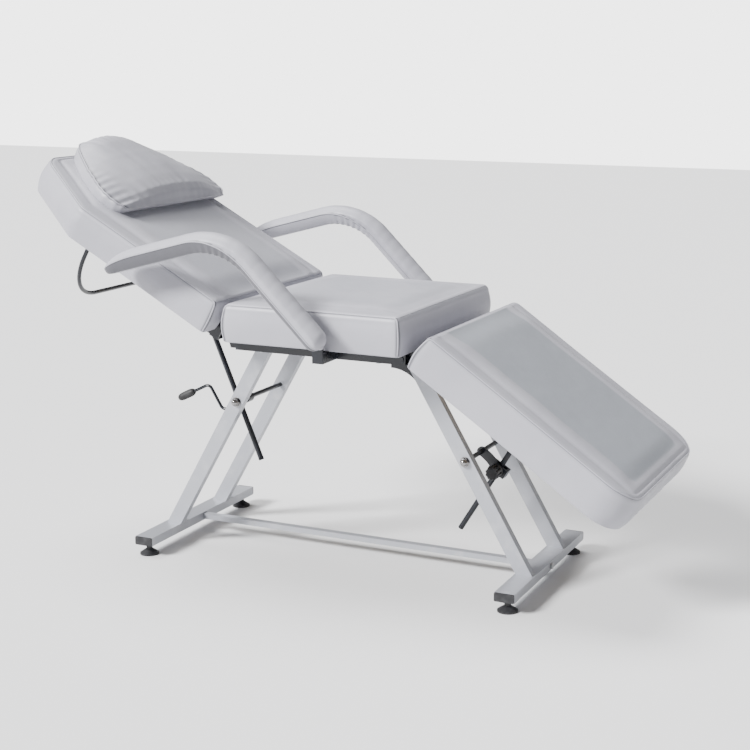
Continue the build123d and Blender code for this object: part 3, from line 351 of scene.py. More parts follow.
class Recipe:
    """Builds the node tree of one finish."""

    def __init__(self, name: str) -> None:
        """Starts a material that is placed by the chair's own coordinates.

        Args:
            name: the material's name.
        """
        self.material = bpy.data.materials.new(name)
        self.material.use_nodes = True
        self.tree = self.material.node_tree
        self.place = self.tree.nodes.new("ShaderNodeTexCoord").outputs["Object"]
        self.made: dict[Texture, Socket] = {}

    def add(self, kind: str, output: str, joined: dict[str, Socket], **values: float | Triple) -> Socket:
        """Adds a node.

        Args:
            kind: its type, without Blender's prefix.
            output: the name of the wanted output.
            joined: the sockets that feed it, by input name.
            values: what its other inputs are set to.

        Returns:
            The output's socket.
        """
        node = self.tree.nodes.new("ShaderNode" + kind)
        for name, value in values.items():
            node.inputs[name].default_value = value
        for name, socket in joined.items():
            self.tree.links.new(socket, node.inputs[name])
        return node.outputs[output]

    def texture(self, texture: Texture) -> Socket:
        """Adds a texture, or finds it when it is already there.

        Args:
            texture: which one.

        Returns:
            Its value's socket.
        """
        if texture not in self.made:
            place = {"Vector": self.place}
            if texture.stretch is not None:
                place = {"Vector": self.add("Mapping", "Vector", place, Scale=texture.stretch)}
            if texture.cells:
                made = self.add("TexVoronoi", "Distance", place, Scale=texture.scale)
            else:
                made = self.add("TexNoise", "Fac", place, Scale=texture.scale, Detail=texture.detail)
            self.made[texture] = made
        return self.made[texture]

    def attribute(self, name: str) -> Socket:
        """Reads a mesh's own named attribute.

        Args:
            name: the attribute's name.

        Returns:
            Its value's socket.
        """
        node = self.tree.nodes.new("ShaderNodeAttribute")
        node.attribute_name = name
        return node.outputs["Fac"]

    def spread(self, value: Socket, reads: tuple[float, float], gives: tuple[float, float]) -> Socket:
        """Returns a value mapped from the range it is read over to the range it becomes."""
        ends = dict(zip(("From Min", "From Max", "To Min", "To Max"), (*reads, *gives)))
        return self.add("MapRange", "Result", {"Value": value}, **ends)

    def mixed(self, share: Socket, first: Triple | Socket, second: Triple) -> Socket:
        """Mixes two colours.

        Args:
            share: how much of the second one.
            first: a colour, or the socket of one.
            second: the other colour.

        Returns:
            The mixed colour's socket.
        """
        node = self.tree.nodes.new("ShaderNodeMix")
        node.data_type = "RGBA"
        self.tree.links.new(share, node.inputs["Factor"])
        sockets = [s for s in node.inputs if s.type == "RGBA"]
        for socket, colour in zip(sockets, (first, second)):
            if isinstance(colour, tuple):
                socket.default_value = (*colour, 1.0)
            else:
                self.tree.links.new(colour, socket)
        return next(s for s in node.outputs if s.type == "RGBA")

    def relief(self, layers: Sequence[Relief]) -> Socket:
        """Lays fine relief on the surface.

        Args:
            layers: the reliefs, each on top of the one before it.

        Returns:
            The normal's socket.
        """
        under: dict[str, Socket] = {}
        for layer in layers:
            joined = {"Height": self.texture(layer.texture), **under}
            normal = self.add("Bump", "Normal", joined, Distance=layer.depth, Strength=layer.strength)
            under = {"Normal": normal}
        return under["Normal"]

    def surface(self, **inputs: Socket | float) -> Material:
        """Feeds the shader.

        Args:
            inputs: a socket or a number for each input, named with _ for a space.

        Returns:
            The finished material.
        """
        shader = self.tree.nodes["Principled BSDF"]
        for name, value in inputs.items():
            socket = shader.inputs[name.replace("_", " ")]
            if isinstance(value, Socket):
                self.tree.links.new(value, socket)
            else:
                socket.default_value = value
        return self.material


@dataclass(frozen=True)
class Vinyl:
    """Soft coated upholstery cloth with a fine pressed grain, with painted shade mixed in where the "seam"
    attribute is set.
    """

    name: str = "white_vinyl"
    light: Triple = (0.385, 0.382, 0.422)
    dark: Triple = (0.345, 0.343, 0.385)
    panel: Triple = (0.262, 0.278, 0.310)
    # painted shade: gap is the near-black colour mixed in beside the piping and on the armrests' outer sides
    gap: Triple = (0.030, 0.030, 0.038)
    rough: tuple[float, float] = (0.40, 0.52)
    clouds: Texture = Texture(5.0, 3.0)
    scuffs: Texture = Texture(38.0, 4.0)
    grain: tuple[Relief, ...] = (
        Relief(Texture(17.0), 0.0022, 0.35),
        Relief(Texture(560.0, cells=True), 0.00016, 0.35),
        Relief(Texture(1500.0), 0.00006, 0.3),
    )

    def make(self) -> Material:
        """Builds the material.

        Returns:
            The vinyl.
        """
        recipe = Recipe(self.name)
        clouds = recipe.spread(recipe.texture(self.clouds), (0.35, 0.65), WHOLE)
        tone = recipe.mixed(clouds, self.light, self.dark)
        covered = recipe.mixed(recipe.attribute("panel"), tone, self.panel)
        return recipe.surface(
            # painted shade: the "seam" attribute darkens the cover towards the gap colour in the seams and
            # on the armrests' outer sides
            Base_Color=recipe.mixed(recipe.attribute("seam"), covered, self.gap),
            Roughness=recipe.spread(recipe.texture(self.scuffs), MIDDLE, self.rough),
            Normal=recipe.relief(self.grain),
            Specular_IOR_Level=0.42, Coat_Weight=0.06, Coat_Roughness=0.38, Sheen_Weight=0.08,
        )


@dataclass(frozen=True)
class HardFinish:
    """Two colours in patches, uneven roughness and fine relief."""

    name: str
    body: Triple
    worn: Triple
    rough: tuple[float, float]
    patches: Texture
    reads: tuple[float, float]
    haze: Texture
    grain: tuple[Relief, ...]
    metallic: float = 0.0
    specular: float = 0.5

    def make(self) -> Material:
        """Builds the material.

        Returns:
            The finish.
        """
        recipe = Recipe(self.name)
        worn = recipe.spread(recipe.texture(self.patches), self.reads, WHOLE)
        return recipe.surface(
            Base_Color=recipe.mixed(worn, self.body, self.worn),
            Roughness=recipe.spread(recipe.texture(self.haze), MIDDLE, self.rough),
            Normal=recipe.relief(self.grain), Metallic=self.metallic, Specular_IOR_Level=self.specular,
        )


@dataclass(frozen=True)
class SprayedPaint(HardFinish):
    """Sprayed or powdered paint with a slight orange peel and rubbed places."""

    patches: Texture = Texture(26.0, 5.0)
    reads: tuple[float, float] = (0.56, 0.74)
    haze: Texture = Texture(9.0)
    grain: tuple[Relief, ...] = (
        Relief(Texture(520.0), 0.00009, 0.4), Relief(Texture(2400.0, cells=True), 0.00003, 0.25),
    )


@dataclass(frozen=True)
class PlatedSteel(HardFinish):
    """Plated or bare steel, finely brushed along one axis."""

    patches: Texture = Texture(60.0, 3.0)
    reads: tuple[float, float] = (0.35, 0.7)
    haze: Texture = Texture(260.0, 3.0, (1.0, 1.0, 14.0))
    grain: tuple[Relief, ...] = (Relief(haze, 0.00004, 0.3),)
    metallic: float = 1.0


@dataclass(frozen=True)
class Ply(HardFinish):
    """Birch ply with grain along the chair."""

    name: str = "birch_ply"
    body: Triple = (0.44, 0.36, 0.26)
    worn: Triple = (0.33, 0.26, 0.18)
    rough: tuple[float, float] = (0.55, 0.75)
    patches: Texture = Texture(9.0, 5.0, (2.2, 30.0, 30.0))
    reads: tuple[float, float] = (0.38, 0.62)
    haze: Texture = Texture(60.0, 3.0, (2.2, 30.0, 30.0))
    grain: tuple[Relief, ...] = (Relief(haze, 0.0002, 0.4),)


@dataclass(frozen=True)
class MouldedPlastic(HardFinish):
    """Moulded plastic or rubber with a fine spark-eroded texture."""

    patches: Texture = Texture(45.0, 4.0)
    reads: tuple[float, float] = (0.5, 0.75)
    haze: Texture = Texture(22.0)
    grain: tuple[Relief, ...] = (Relief(Texture(1300.0), 0.00008, 0.4),)
    specular: float = 0.45


@dataclass(frozen=True)
class PaleFloor:
    """A plain matt studio floor."""

    name: str = "studio_floor"
    tone: Triple = (0.74, 0.74, 0.745)
    other: Triple = (0.73, 0.73, 0.735)
    patches: Texture = Texture(1.5, 1.0)

    def make(self) -> Material:
        """Builds the material.

        Returns:
            The floor's paint.
        """
        recipe = Recipe(self.name)
        colour = recipe.mixed(recipe.texture(self.patches), self.tone, self.other)
        return recipe.surface(Base_Color=colour, Roughness=0.75, Specular_IOR_Level=0.2)


@dataclass(frozen=True)
class Finishes:
    """Every finish of the chair, made once."""

    vinyl: Material = field(default_factory=Vinyl().make)
    silver: Material = field(default_factory=SprayedPaint(
        "silver_paint", (0.37, 0.38, 0.415), (0.43, 0.435, 0.465), (0.34, 0.46), metallic=0.35).make)
    black: Material = field(default_factory=SprayedPaint(
        "black_paint", (0.005, 0.006, 0.010), (0.014, 0.017, 0.025), (0.22, 0.36)).make)
    zinc: Material = field(default_factory=PlatedSteel(
        "zinc_steel", (0.56, 0.57, 0.58), (0.42, 0.43, 0.44), (0.26, 0.42)).make)
    polished: Material = field(default_factory=PlatedSteel(
        "polished_steel", (0.34, 0.33, 0.33), (0.24, 0.235, 0.23), (0.10, 0.20)).make)
    bare: Material = field(default_factory=PlatedSteel(
        "bare_steel", (0.36, 0.36, 0.37), (0.26, 0.26, 0.27), (0.38, 0.52)).make)
    ply: Material = field(default_factory=Ply().make)
    plastic: Material = field(default_factory=MouldedPlastic(
        "black_plastic", (0.014, 0.014, 0.016), (0.040, 0.040, 0.043), (0.42, 0.58)).make)
    grip: Material = field(default_factory=MouldedPlastic(
        "black_grip", (0.012, 0.012, 0.013), (0.030, 0.030, 0.032), (0.50, 0.64),
        grain=(Relief(Texture(1800.0), 0.00008, 0.4),)).make)


@dataclass(frozen=True)
class Ironwork:
    """The rigid CAD nodes, which keep their shapes and get their real finishes."""

    silver: tuple[str, ...] = (
        "head_floor_bar", "foot_floor_bar", "stretcher", "head_leg_right", "head_leg_left",
        "foot_leg_right", "foot_leg_left",
    )
    black: tuple[str, ...] = (
        "head_cross_rod", "foot_cross_rod", "leg_gussets", "seat_frame", "back_hinge_plates",
        "leg_hinge_pins", "back_frame", "leg_frame", "arm_brackets", "head_strut", "foot_strut",
        "head_clamp", "foot_clamp", "foot_bracket", "lock_lever", "roll_hoop", "hoop_flanges",
    )
    zinc: tuple[str, ...] = (
        "foot_inserts", "stretcher_plugs", "stretcher_bolts", "seat_board_bolts", "back_board_bolts",
        "leg_board_bolts", "back_hinge_pins", "head_strut_pin", "foot_strut_pin", "foot_knob_screw",
    )
    polished: tuple[str, ...] = ("dome_nuts", "leg_washers", "arm_bolts")
    bare: tuple[str, ...] = ("arm_cores",)
    ply: tuple[str, ...] = ("seat_board", "back_board", "leg_board")
    plastic: tuple[str, ...] = (
        "floor_bar_caps", "foot_knob", "levelling_foot_1", "levelling_foot_2", "levelling_foot_3",
        "levelling_foot_4",
    )
    grip: tuple[str, ...] = ("lever_grip",)

    def dress(self, finishes: Finishes) -> None:
        """Gives every rigid node its finish.

        Args:
            finishes: the chair's finishes.
        """
        for kind in ("silver", "black", "zinc", "polished", "bare", "ply", "plastic", "grip"):
            for name in getattr(self, kind):
                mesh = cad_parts[name].data
                mesh.materials.clear()
                mesh.materials.append(getattr(finishes, kind))
            log.info("%s: %d nodes", kind, len(getattr(self, kind)))


# Padding

def upholster(piece: Piece, material: Material, node: str, body: str) -> None:
    """Covers a padded piece, hides the CAD node that it replaces and hangs it on its body.

    Args:
        piece: the mesh object.
        material: the vinyl.
        node: the CAD node that it replaces.
        body: the body that it rides on.
    """
    piece.data.materials.append(material)
    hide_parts(node)
    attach(piece, body)


def lay_piping(
    name: str, path: np.ndarray, radius: float, closed: bool, material: Material, body: str,
) -> None:
    """Makes one run of piping.

    Args:
        name: the piece's name.
        path: the points that its middle follows.
        radius: the piping's radius.
        closed: whether the path ends where it starts.
        material: the vinyl.
        body: the body that it rides on.
    """
    points, faces = tube(path, radius, closed)
    piping = blank(name, points, faces)
    piping.data.materials.append(material)
    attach(piping, body)


@dataclass(frozen=True)
class Swing:
    """A hinge line across the chair, and the angle that a form drawn flat is turned by."""

    x: float
    z: float
    degrees: float

    def place(self, points: np.ndarray) -> np.ndarray:
        """Turns points from the flat drawing to where they are at rest.

        Args:
            points: one row of X, Y, Z per point.

        Returns:
            The turned points.
        """
        turn = math.radians(self.degrees)
        dx, dz = points[:, 0] - self.x, points[:, 2] - self.z
        placed = points.copy()
        placed[:, 0] = self.x + dx * math.cos(turn) + dz * math.sin(turn)
        placed[:, 2] = self.z - dx * math.sin(turn) + dz * math.cos(turn)
        return placed

    def height(self, points: np.ndarray) -> np.ndarray:
        """Finds how high placed points were in the flat drawing.

        Args:
            points: one row of X, Y, Z per point.

        Returns:
            Their heights.
        """
        turn = math.radians(self.degrees)
        up = (points[:, 0] - self.x) * math.sin(turn) + (points[:, 2] - self.z) * math.cos(turn)
        return self.z + up


@dataclass(frozen=True)
class Billow:
    """Settings of the cloth simulation that swells a padded piece."""

    voxel: float = 0.010
    pressure: float = 0.6
    frames: int = 14
    cap: float = 0.010
    neighbours: int = 6
    softening: float = 0.001

    def swell(self, piece: Piece, freedom: np.ndarray) -> None:
        """Swells a piece as stuffed cloth, and keeps its own seams and faces.

        Args:
            piece: the mesh object, in its final place.
            freedom: how far each vertex may follow the cloth, from 0 to 1.
        """
        scene = bpy.context.scene
        copy = bpy.data.objects.new(piece.name + "_trial", piece.data.copy())
        scene.collection.objects.link(copy)
        remesh = copy.modifiers.new("even", "REMESH")
        remesh.mode, remesh.voxel_size = "VOXEL", self.voxel
        applied(copy)
        start = positions(copy.data)
        cloth = copy.modifiers.new("cloth", "CLOTH")
        cloth.settings.use_pressure = True
        cloth.settings.uniform_pressure_force = self.pressure
        cloth.settings.effector_weights.gravity = 0.0
        cloth.point_cache.frame_start, cloth.point_cache.frame_end = 1, self.frames
        for step in range(1, self.frames + 1):
            scene.frame_set(step)
        graph = bpy.context.evaluated_depsgraph_get()
        moved = positions(copy.evaluated_get(graph).to_mesh()) - start
        length = np.linalg.norm(moved, axis=1)
        moved *= np.minimum(1.0, self.cap / np.maximum(length, TINY))[:, None]
        scene.frame_set(1)
        bpy.data.objects.remove(copy)
        tree = KDTree(len(start))
        for k, point in enumerate(start):
            tree.insert(point, k)
        tree.balance()
        points = positions(piece.data)
        for k, point in enumerate(points):
            near = tree.find_n(point, self.neighbours)
            weights = np.array([1.0 / (distance + self.softening) for _, _, distance in near])
            shift = (moved[[index for _, index, _ in near]] * weights[:, None]).sum(0) / weights.sum()
            points[k] = point + shift * freedom[k]
        set_positions(piece, points)
        log.info("%s swelled by up to %.1f mm", piece.name, 1000 * float(length.max()))


class PipedEnds(Enum):
    """Where a cushion's piping goes round."""

    BOTH_SIDES = "a loop along each side"
    HIGH_END = "round the end at high X"
    LOW_END = "round the end at low X"


@dataclass(frozen=True)
class TopGrid:
    """The vertices of a cushion's top, by row along it and column across."""

    last_row: int
    last_column: int

    def loop(self) -> list[Spot]:
        """Goes once round the edge.

        Returns:
            The row and column of each vertex on it.
        """
        n, m = self.last_row, self.last_column
        near = [(0, j) for j in range(m, 0, -1)] + [(i, 0) for i in range(n)]
        return near + [(n, j) for j in range(m)] + [(i, m) for i in range(n, 0, -1)]

    def faces(self, number: np.ndarray, facing: int) -> list[Face]:
        """Joins a sheet of vertices with quads.

        Args:
            number: each one's number, by row and column.
            facing: 1 for a top and -1 for an underside.

        Returns:
            The faces.
        """
        top, underside = ((0, 0), (1, 0), (1, 1), (0, 1)), ((0, 0), (0, 1), (1, 1), (1, 0))
        return [
            tuple(number[i + di, j + dj] for di, dj in (top if facing > 0 else underside))
            for i in range(self.last_row) for j in range(self.last_column)
        ]


@dataclass
class BoxCushion:
    """A foam block in a boxed cover: rolled top edges, bowed sides and a soft border on top."""

    name: str
    node: str
    body: str
    low_x: float
    high_x: float
    half_width: float
    low: float
    high: float
    piped: PipedEnds
    swing: Swing
    board: Triple
    low_corner: float = 0.004
    high_corner: float = 0.004
    low_gap: float = 0.0
    high_gap: float = 0.0
    low_square: float = 0.8
    high_square: float = 0.8
    taper: Triple = (0.0, 0.0, 0.0)
    notches: tuple[Box, ...] = ()
    board_depth: float = 0.012
    cut_reach: float = 0.01
    pitch: float = 0.0085
    crowding: float = 1.25
    corner_steps: int = 12
    roll: float = 0.016
    roll_turns: tuple[float, ...] = (75.0, 62.0, 56.0, 52.0, 48.0, 36.0, 22.0, 8.0)
    tuck: float = 0.005
    draw: float = 0.004
    side_steps: int = 12
    foot_roll: float = 0.004
    foot_turns: tuple[float, ...] = (30.0, 60.0, 90.0)
    crown: float = 0.0075
    crown_run: float = 0.085
    least_half: float = 0.05
    seam_ring: int = 3
    seam_rows: int = 17
    seam_sink: float = 0.0012
    piping: float = 0.0019
    piping_rise: float = 0.35
    piping_pitch: float = 0.005
    corner_rows: int = 6
    border: float = 0.046
    end_border_share: float = 0.42
    corner_power: int = 6
    crease_depth: float = 0.0030
    crease_width: float = 0.0075
    crest_share: float = 0.4
    crest_inset: float = 0.026
    crest_width: float = 0.015
    field_share: float = 0.35
    field_lead: float = 0.006
    field_run: float = 0.012
    panel_start: float = 0.092
    panel_run: float = 0.008
    panel_grey: float = 0.0
    top_waves: tuple[Waves, Waves] = (
        Waves((9.0, 7.0, 1.0), 0.0011), Waves((31.0, 24.0, 1.0), 0.0004, 7.0),
    )
    side_waves: tuple[Waves, Waves] = (
        Waves((16.0, 16.0, 1.0), 0.0009, 3.0), Waves((55.0, 55.0, 1.0), 0.0003, 5.0),
    )
    wave_run: float = 0.05
    most_crinkle: float = 0.0004
    looseness: float = 0.6
    loose_run: float = 0.07
    seed: float = 1.0
    fill: float = 0.7

    def half_at(self, x: np.ndarray) -> np.ndarray:
        """Half the width of the rolled edge's inner line.

        Args:
            x: places along the cushion, in its flat drawing.

        Returns:
            The half width at each.
        """
        share = (x - self.low_x) / (self.high_x - self.low_x)
        half = self.half_width - self.tuck - self.roll - self.draw * np.sin(math.pi * np.clip(share, 0, 1))
        start, end, tip = self.taper
        if end != start:
            run = np.clip((x - start) / (end - start), 0.0, None)
            half = half + (tip - self.half_width) * run
        return half

    def rows(self) -> tuple[np.ndarray, np.ndarray]:
        """Places the rows of the top across the cushion.

        Returns:
            Their X and half width, along the rolled edge's inner line.
        """
        a, b = self.low_x + self.roll + self.low_gap, self.high_x - self.roll - self.high_gap
        turns = np.linspace(0.0, math.pi / 2, self.corner_steps)
        low = [(a + self.low_corner * (1 - math.cos(t)), self.low_corner * (1 - math.sin(t))) for t in turns]
        high = [
            (b - self.high_corner * (1 - math.cos(t)), self.high_corner * (1 - math.sin(t)))
            for t in turns[::-1]
        ]
        start, end = low[-1][0], high[0][0]
        count = int(round((end - start) / self.pitch))
        middle = [(x, 0.0) for x in np.linspace(start, end, count + 1)[1:-1]]
        rows = np.array(low + middle + high)
        return rows[:, 0], self.half_at(rows[:, 0]) - rows[:, 1]

    def inside_border(self, x: np.ndarray, y: np.ndarray) -> np.ndarray:
        """How far places on top are from the edges that have a border.

        Args:
            x: places along the cushion, in its flat drawing.
            y: places across it.

        Returns:
            The distances, an end's stretched to match the wider side border.
        """
        gap = self.half_at(x) + self.roll - np.abs(y)
        ends = []
        if self.piped is not PipedEnds.LOW_END:
            ends.append(self.high_x - x)
        if self.piped is not PipedEnds.HIGH_END:
            ends.append(x - self.low_x)
        power, least = self.corner_power, 1e-4
        for end in ends:
            reach = end / self.end_border_share
            both = 1.0 / np.maximum(gap, least) ** power + 1.0 / np.maximum(reach, least) ** power
            gap = 1.0 / both ** (1 / power)
        return gap

    def top_height(self, x: np.ndarray, y: np.ndarray, edge: np.ndarray) -> np.ndarray:
        """The height of the top, with its crown and border.

        Args:
            x: places along the cushion, in its flat drawing.
            y: places across it.
            edge: distance of each from the cushion's edge.

        Returns:
            The heights.
        """
        half = np.maximum(self.half_at(x), self.least_half)
        along = np.minimum(x - self.low_x, self.high_x - x)
        rise = self.crown * (1 - np.clip(y / half, -1, 1) ** 2) * smoothstep(along / self.crown_run)
        inside = self.inside_border(x, y)
        crease = -self.crease_depth * bell((inside - self.border) / self.crease_width)
        crest_at = (inside - self.border - self.crest_inset) / self.crest_width
        crest = self.crest_share * self.crease_depth * bell(crest_at)
        drop_at = (inside - self.panel_start + self.field_lead) / self.field_run
        field_drop = -self.field_share * self.crease_depth * smoothstep(drop_at)
        held = smoothstep(edge / (2 * self.roll))
        return self.high + rise + crease * held + crest * held + field_drop * held

    def outward(self, line: np.ndarray) -> np.ndarray:
        """Finds which way the sides face.

        Args:
            line: the rolled edge's inner line, seen from above.

        Returns:
            Its normals, made longer at corners to keep them square.
        """
        heading = np.roll(line, -1, 0) - np.roll(line, 1, 0)
        heading /= np.linalg.norm(heading, axis=1)[:, None]
        normal = np.stack([heading[:, 1], -heading[:, 0]], 1)
        if ((line - line.mean(0)) * normal).sum() < 0:
            normal = -normal
        square = np.where(line[:, 0] < (self.low_x + self.high_x) / 2, self.low_square, self.high_square)
        return normal / (np.abs(normal).max(1) ** square)[:, None]

    def build(self, material: Material) -> Piece:
        """Makes the cushion and its piping.

        Args:
            material: the vinyl.

        Returns:
            The cushion.
        """
        xs, halves = self.rows()
        count = 2 * int(round(self.half_width / self.pitch))
        across = np.sin(np.linspace(-1.0, 1.0, count + 1) * self.crowding) / math.sin(self.crowding)
        grid_x = np.repeat(xs[:, None], count + 1, 1)
        grid_y = halves[:, None] * across[None, :]
        grid = TopGrid(len(xs) - 1, count)
        loop = grid.loop()
        line = np.array([(grid_x[spot], grid_y[spot]) for spot in loop])
        x, y = grid_x.ravel(), grid_y.ravel()
        squares = (x[:, None] - line[None, :, 0]) ** 2 + (y[:, None] - line[None, :, 1]) ** 2
        gaps = np.sqrt(squares).min(1) + self.roll
        top = np.stack([x, y, self.top_height(x, y, gaps)], 1)
        broad, fine = (waves.at(top, self.seed) for waves in self.top_waves)
        top[:, 2] += (broad + fine) * smoothstep(gaps / self.wave_run)
        number = np.arange(len(top)).reshape(grid_x.shape)
        edge = [int(number[spot]) for spot in loop]
        rings, seam = self.side_rings(line, self.outward(line), top[edge, 2])
        side_faces, last = stacked(edge, rings, len(top))
        inner = np.full(number.shape, -1)
        for spot, index in zip(loop, last):
            inner[spot] = index
        middle = inner[1:-1, 1:-1]
        middle[:] = last[-1] + 1 + np.arange(middle.size).reshape(middle.shape)
        bottom = np.stack([grid_x, grid_y, np.full(grid_x.shape, self.low)], 2)[1:-1, 1:-1].reshape(-1, 3)
        everything = np.vstack([top, *rings, bottom])
        faces = grid.faces(number, 1) + side_faces + grid.faces(inner, -1)
        piece = blank(self.name, self.swing.place(everything), faces)
        face_out(piece)
        grey = np.zeros(len(everything))
        if self.panel_grey:
            inside = self.inside_border(x, y)
            grey[:len(top)] = self.panel_grey * smoothstep((inside - self.panel_start) / self.panel_run)
        shade(piece, "panel", grey)
        # painted shade: dark lines in the seams' gaps beside the piping
        shade(piece, "seam", self.seam_shade_marks(len(everything), len(top), grid))
        freedom = np.zeros(len(everything))
        freedom[:len(top)] = self.looseness * smoothstep((gaps - self.roll) / self.loose_run)
        Billow().swell(piece, freedom)
        self.carve(piece)
        piece.data.materials.clear()
        upholster(piece, material, self.node, self.body)
        self.pipe(seam, grid, material)
        return piece

    def seam_shade_marks(self, total: int, first: int, grid: TopGrid) -> np.ndarray:
        """Marks the vertices beside the piping, and down the seams at its ends, that get painted shade in
        the seam's gap.

        Args:
            total: the number of vertices.
            first: the number of the first ring's first vertex.
            grid: the top's rows and columns.

        Returns:
            A share from 0 to 1 for each vertex.
        """
        marks, piped, round_edge = np.zeros(total), set(), len(grid.loop())
        for indices in self.piped_runs(grid):
            piped |= set(indices)
            # painted shade down the side seams at each end of a piping run
            for row in range(self.seam_ring, self.seam_ring + self.seam_rows):
                for end in (indices[0], indices[-1]):
                    for beside, share in ((-1, 0.55), (0, 1.0), (1, 0.55)):
                        place = first + row * round_edge + (end + beside) % round_edge
                        marks[place] = max(marks[place], share)
        # painted shade along the piped seam
        for index in piped:
            for row, share in ((-1, 0.75), (0, 1.0), (1, 0.75)):
                marks[first + (self.seam_ring + row) * round_edge + index] = share
        return marks

    def side_rings(
        self, line: np.ndarray, outward: np.ndarray, edge_z: np.ndarray,
    ) -> tuple[list[np.ndarray], list[np.ndarray]]:
        """Draws the rolled edge, the bowed side and the turned-in foot.

        Args:
            line: the rolled edge's inner line, seen from above.
            outward: its normals.
            edge_z: the top's height along it.

        Returns:
            The rings from the top down, and the rings that piping follows, from the seam down.
        """
        rings, seam = [], []
        shoulder = self.high - self.roll
        lift = edge_z - self.high
        flat_line = np.column_stack([line, np.zeros(len(line))])
        broad, fine = (waves.at(flat_line, self.seed) for waves in self.side_waves)

        def ring(reach: np.ndarray | float, z: np.ndarray | float) -> np.ndarray:
            """Returns the line moved outward by reach, at height z."""
            where = line + outward * np.broadcast_to(reach, len(line))[:, None]
            return np.column_stack([where, np.broadcast_to(z, len(line))])

        def rolled(radius: float, angle: float) -> np.ndarray:
            """Returns the ring on the rolled edge at an angle."""
            up = math.sin(angle)
            return ring(radius * math.cos(angle), shoulder + radius * up + lift * up)

        for k, turn in enumerate(self.roll_turns):
            angle = math.radians(turn)
            rings.append(rolled(self.roll - (self.seam_sink if k == self.seam_ring else 0.0), angle))
            if k == self.seam_ring:
                seam.append(rolled(self.roll + self.piping * self.piping_rise, angle))
            elif k > self.seam_ring:
                seam.append(rings[-1])
        foot = self.low + self.foot_roll
        for share in np.linspace(0.0, 1.0, self.side_steps):
            bulge = math.sin(math.pi * share)
            crinkle = np.minimum((broad + fine) * bulge, self.most_crinkle)
            now = ring(self.roll + self.tuck * bulge + crinkle, shoulder + (foot - shoulder) * share)
            rings.append(now)
            seam.append(now)
        for turn in self.foot_turns:
            angle = math.radians(turn)
            inset = self.foot_roll * (1 - math.cos(angle))
            rings.append(ring(self.roll - inset, foot - self.foot_roll * math.sin(angle)))
        return rings, seam

    def piped_runs(self, grid: TopGrid) -> list[list[int]]:
        """Finds the stretches of the edge that are piped.

        Args:
            grid: the top's rows and columns.

        Returns:
            The loop's places of each stretch.
        """
        loop, n, m = grid.loop(), grid.last_row, grid.last_column
        place = {spot: k for k, spot in enumerate(loop)}

        def run(first: Spot, last: Spot, step: int) -> list[int]:
            """Returns the loop's places from first to last."""
            k, end, found = place[first], place[last], []
            while k != end:
                found.append(k)
                k = (k + step) % len(loop)
            return [*found, end]

        low, high = self.corner_rows, n - self.corner_rows
        if self.piped is PipedEnds.BOTH_SIDES:
            return [run((low, 0), (high, 0), 1), run((low, m), (high, m), -1)]
        if self.piped is PipedEnds.HIGH_END:
            return [run((low, 0), (low, m), 1)]
        return [run((high, 0), (high, m), -1)]

    def pipe(self, seam: list[np.ndarray], grid: TopGrid, material: Material) -> None:
        """Lays the piping in the seams.

        Args:
            seam: the rings from the seam down.
            grid: the top's rows and columns.
            material: the vinyl.
        """
        for k, indices in enumerate(self.piped_runs(grid)):
            down = [row[indices[0]] for row in reversed(seam[1:])]
            along = [seam[0][i] for i in indices]
            back_down = [row[indices[-1]] for row in seam[1:]]
            path = self.swing.place(np.array(down + along + back_down))
            path = eased(evened(path, self.piping_pitch, False), 3, False)
            lay_piping(f"{self.name}_piping_{k + 1}", path, self.piping, False, material, self.body)

    def carve(self, piece: Piece) -> None:
        """Cuts the recess of the board and the slots of the hinge plates.

        Args:
            piece: the cushion.
        """
        start, end, half = self.board
        recess = (start, end, -half, half, self.low - self.cut_reach, self.low + self.board_depth)
        for x0, x1, y0, y1, z0, z1 in (recess, *self.notches):
            corners = np.array([(x, y, z) for x in (x0, x1) for y in (y0, y1) for z in (z0, z1)])
            block = blank("cut", self.swing.place(corners), BOX_FACES)
            face_out(block)
            cut = piece.modifiers.new("cut", "BOOLEAN")
            cut.operation, cut.solver, cut.object = "DIFFERENCE", "EXACT", block
            applied(piece)
            bpy.data.objects.remove(block)
        piece.data.set_sharp_from_angle(angle=SMOOTH_ANGLE)


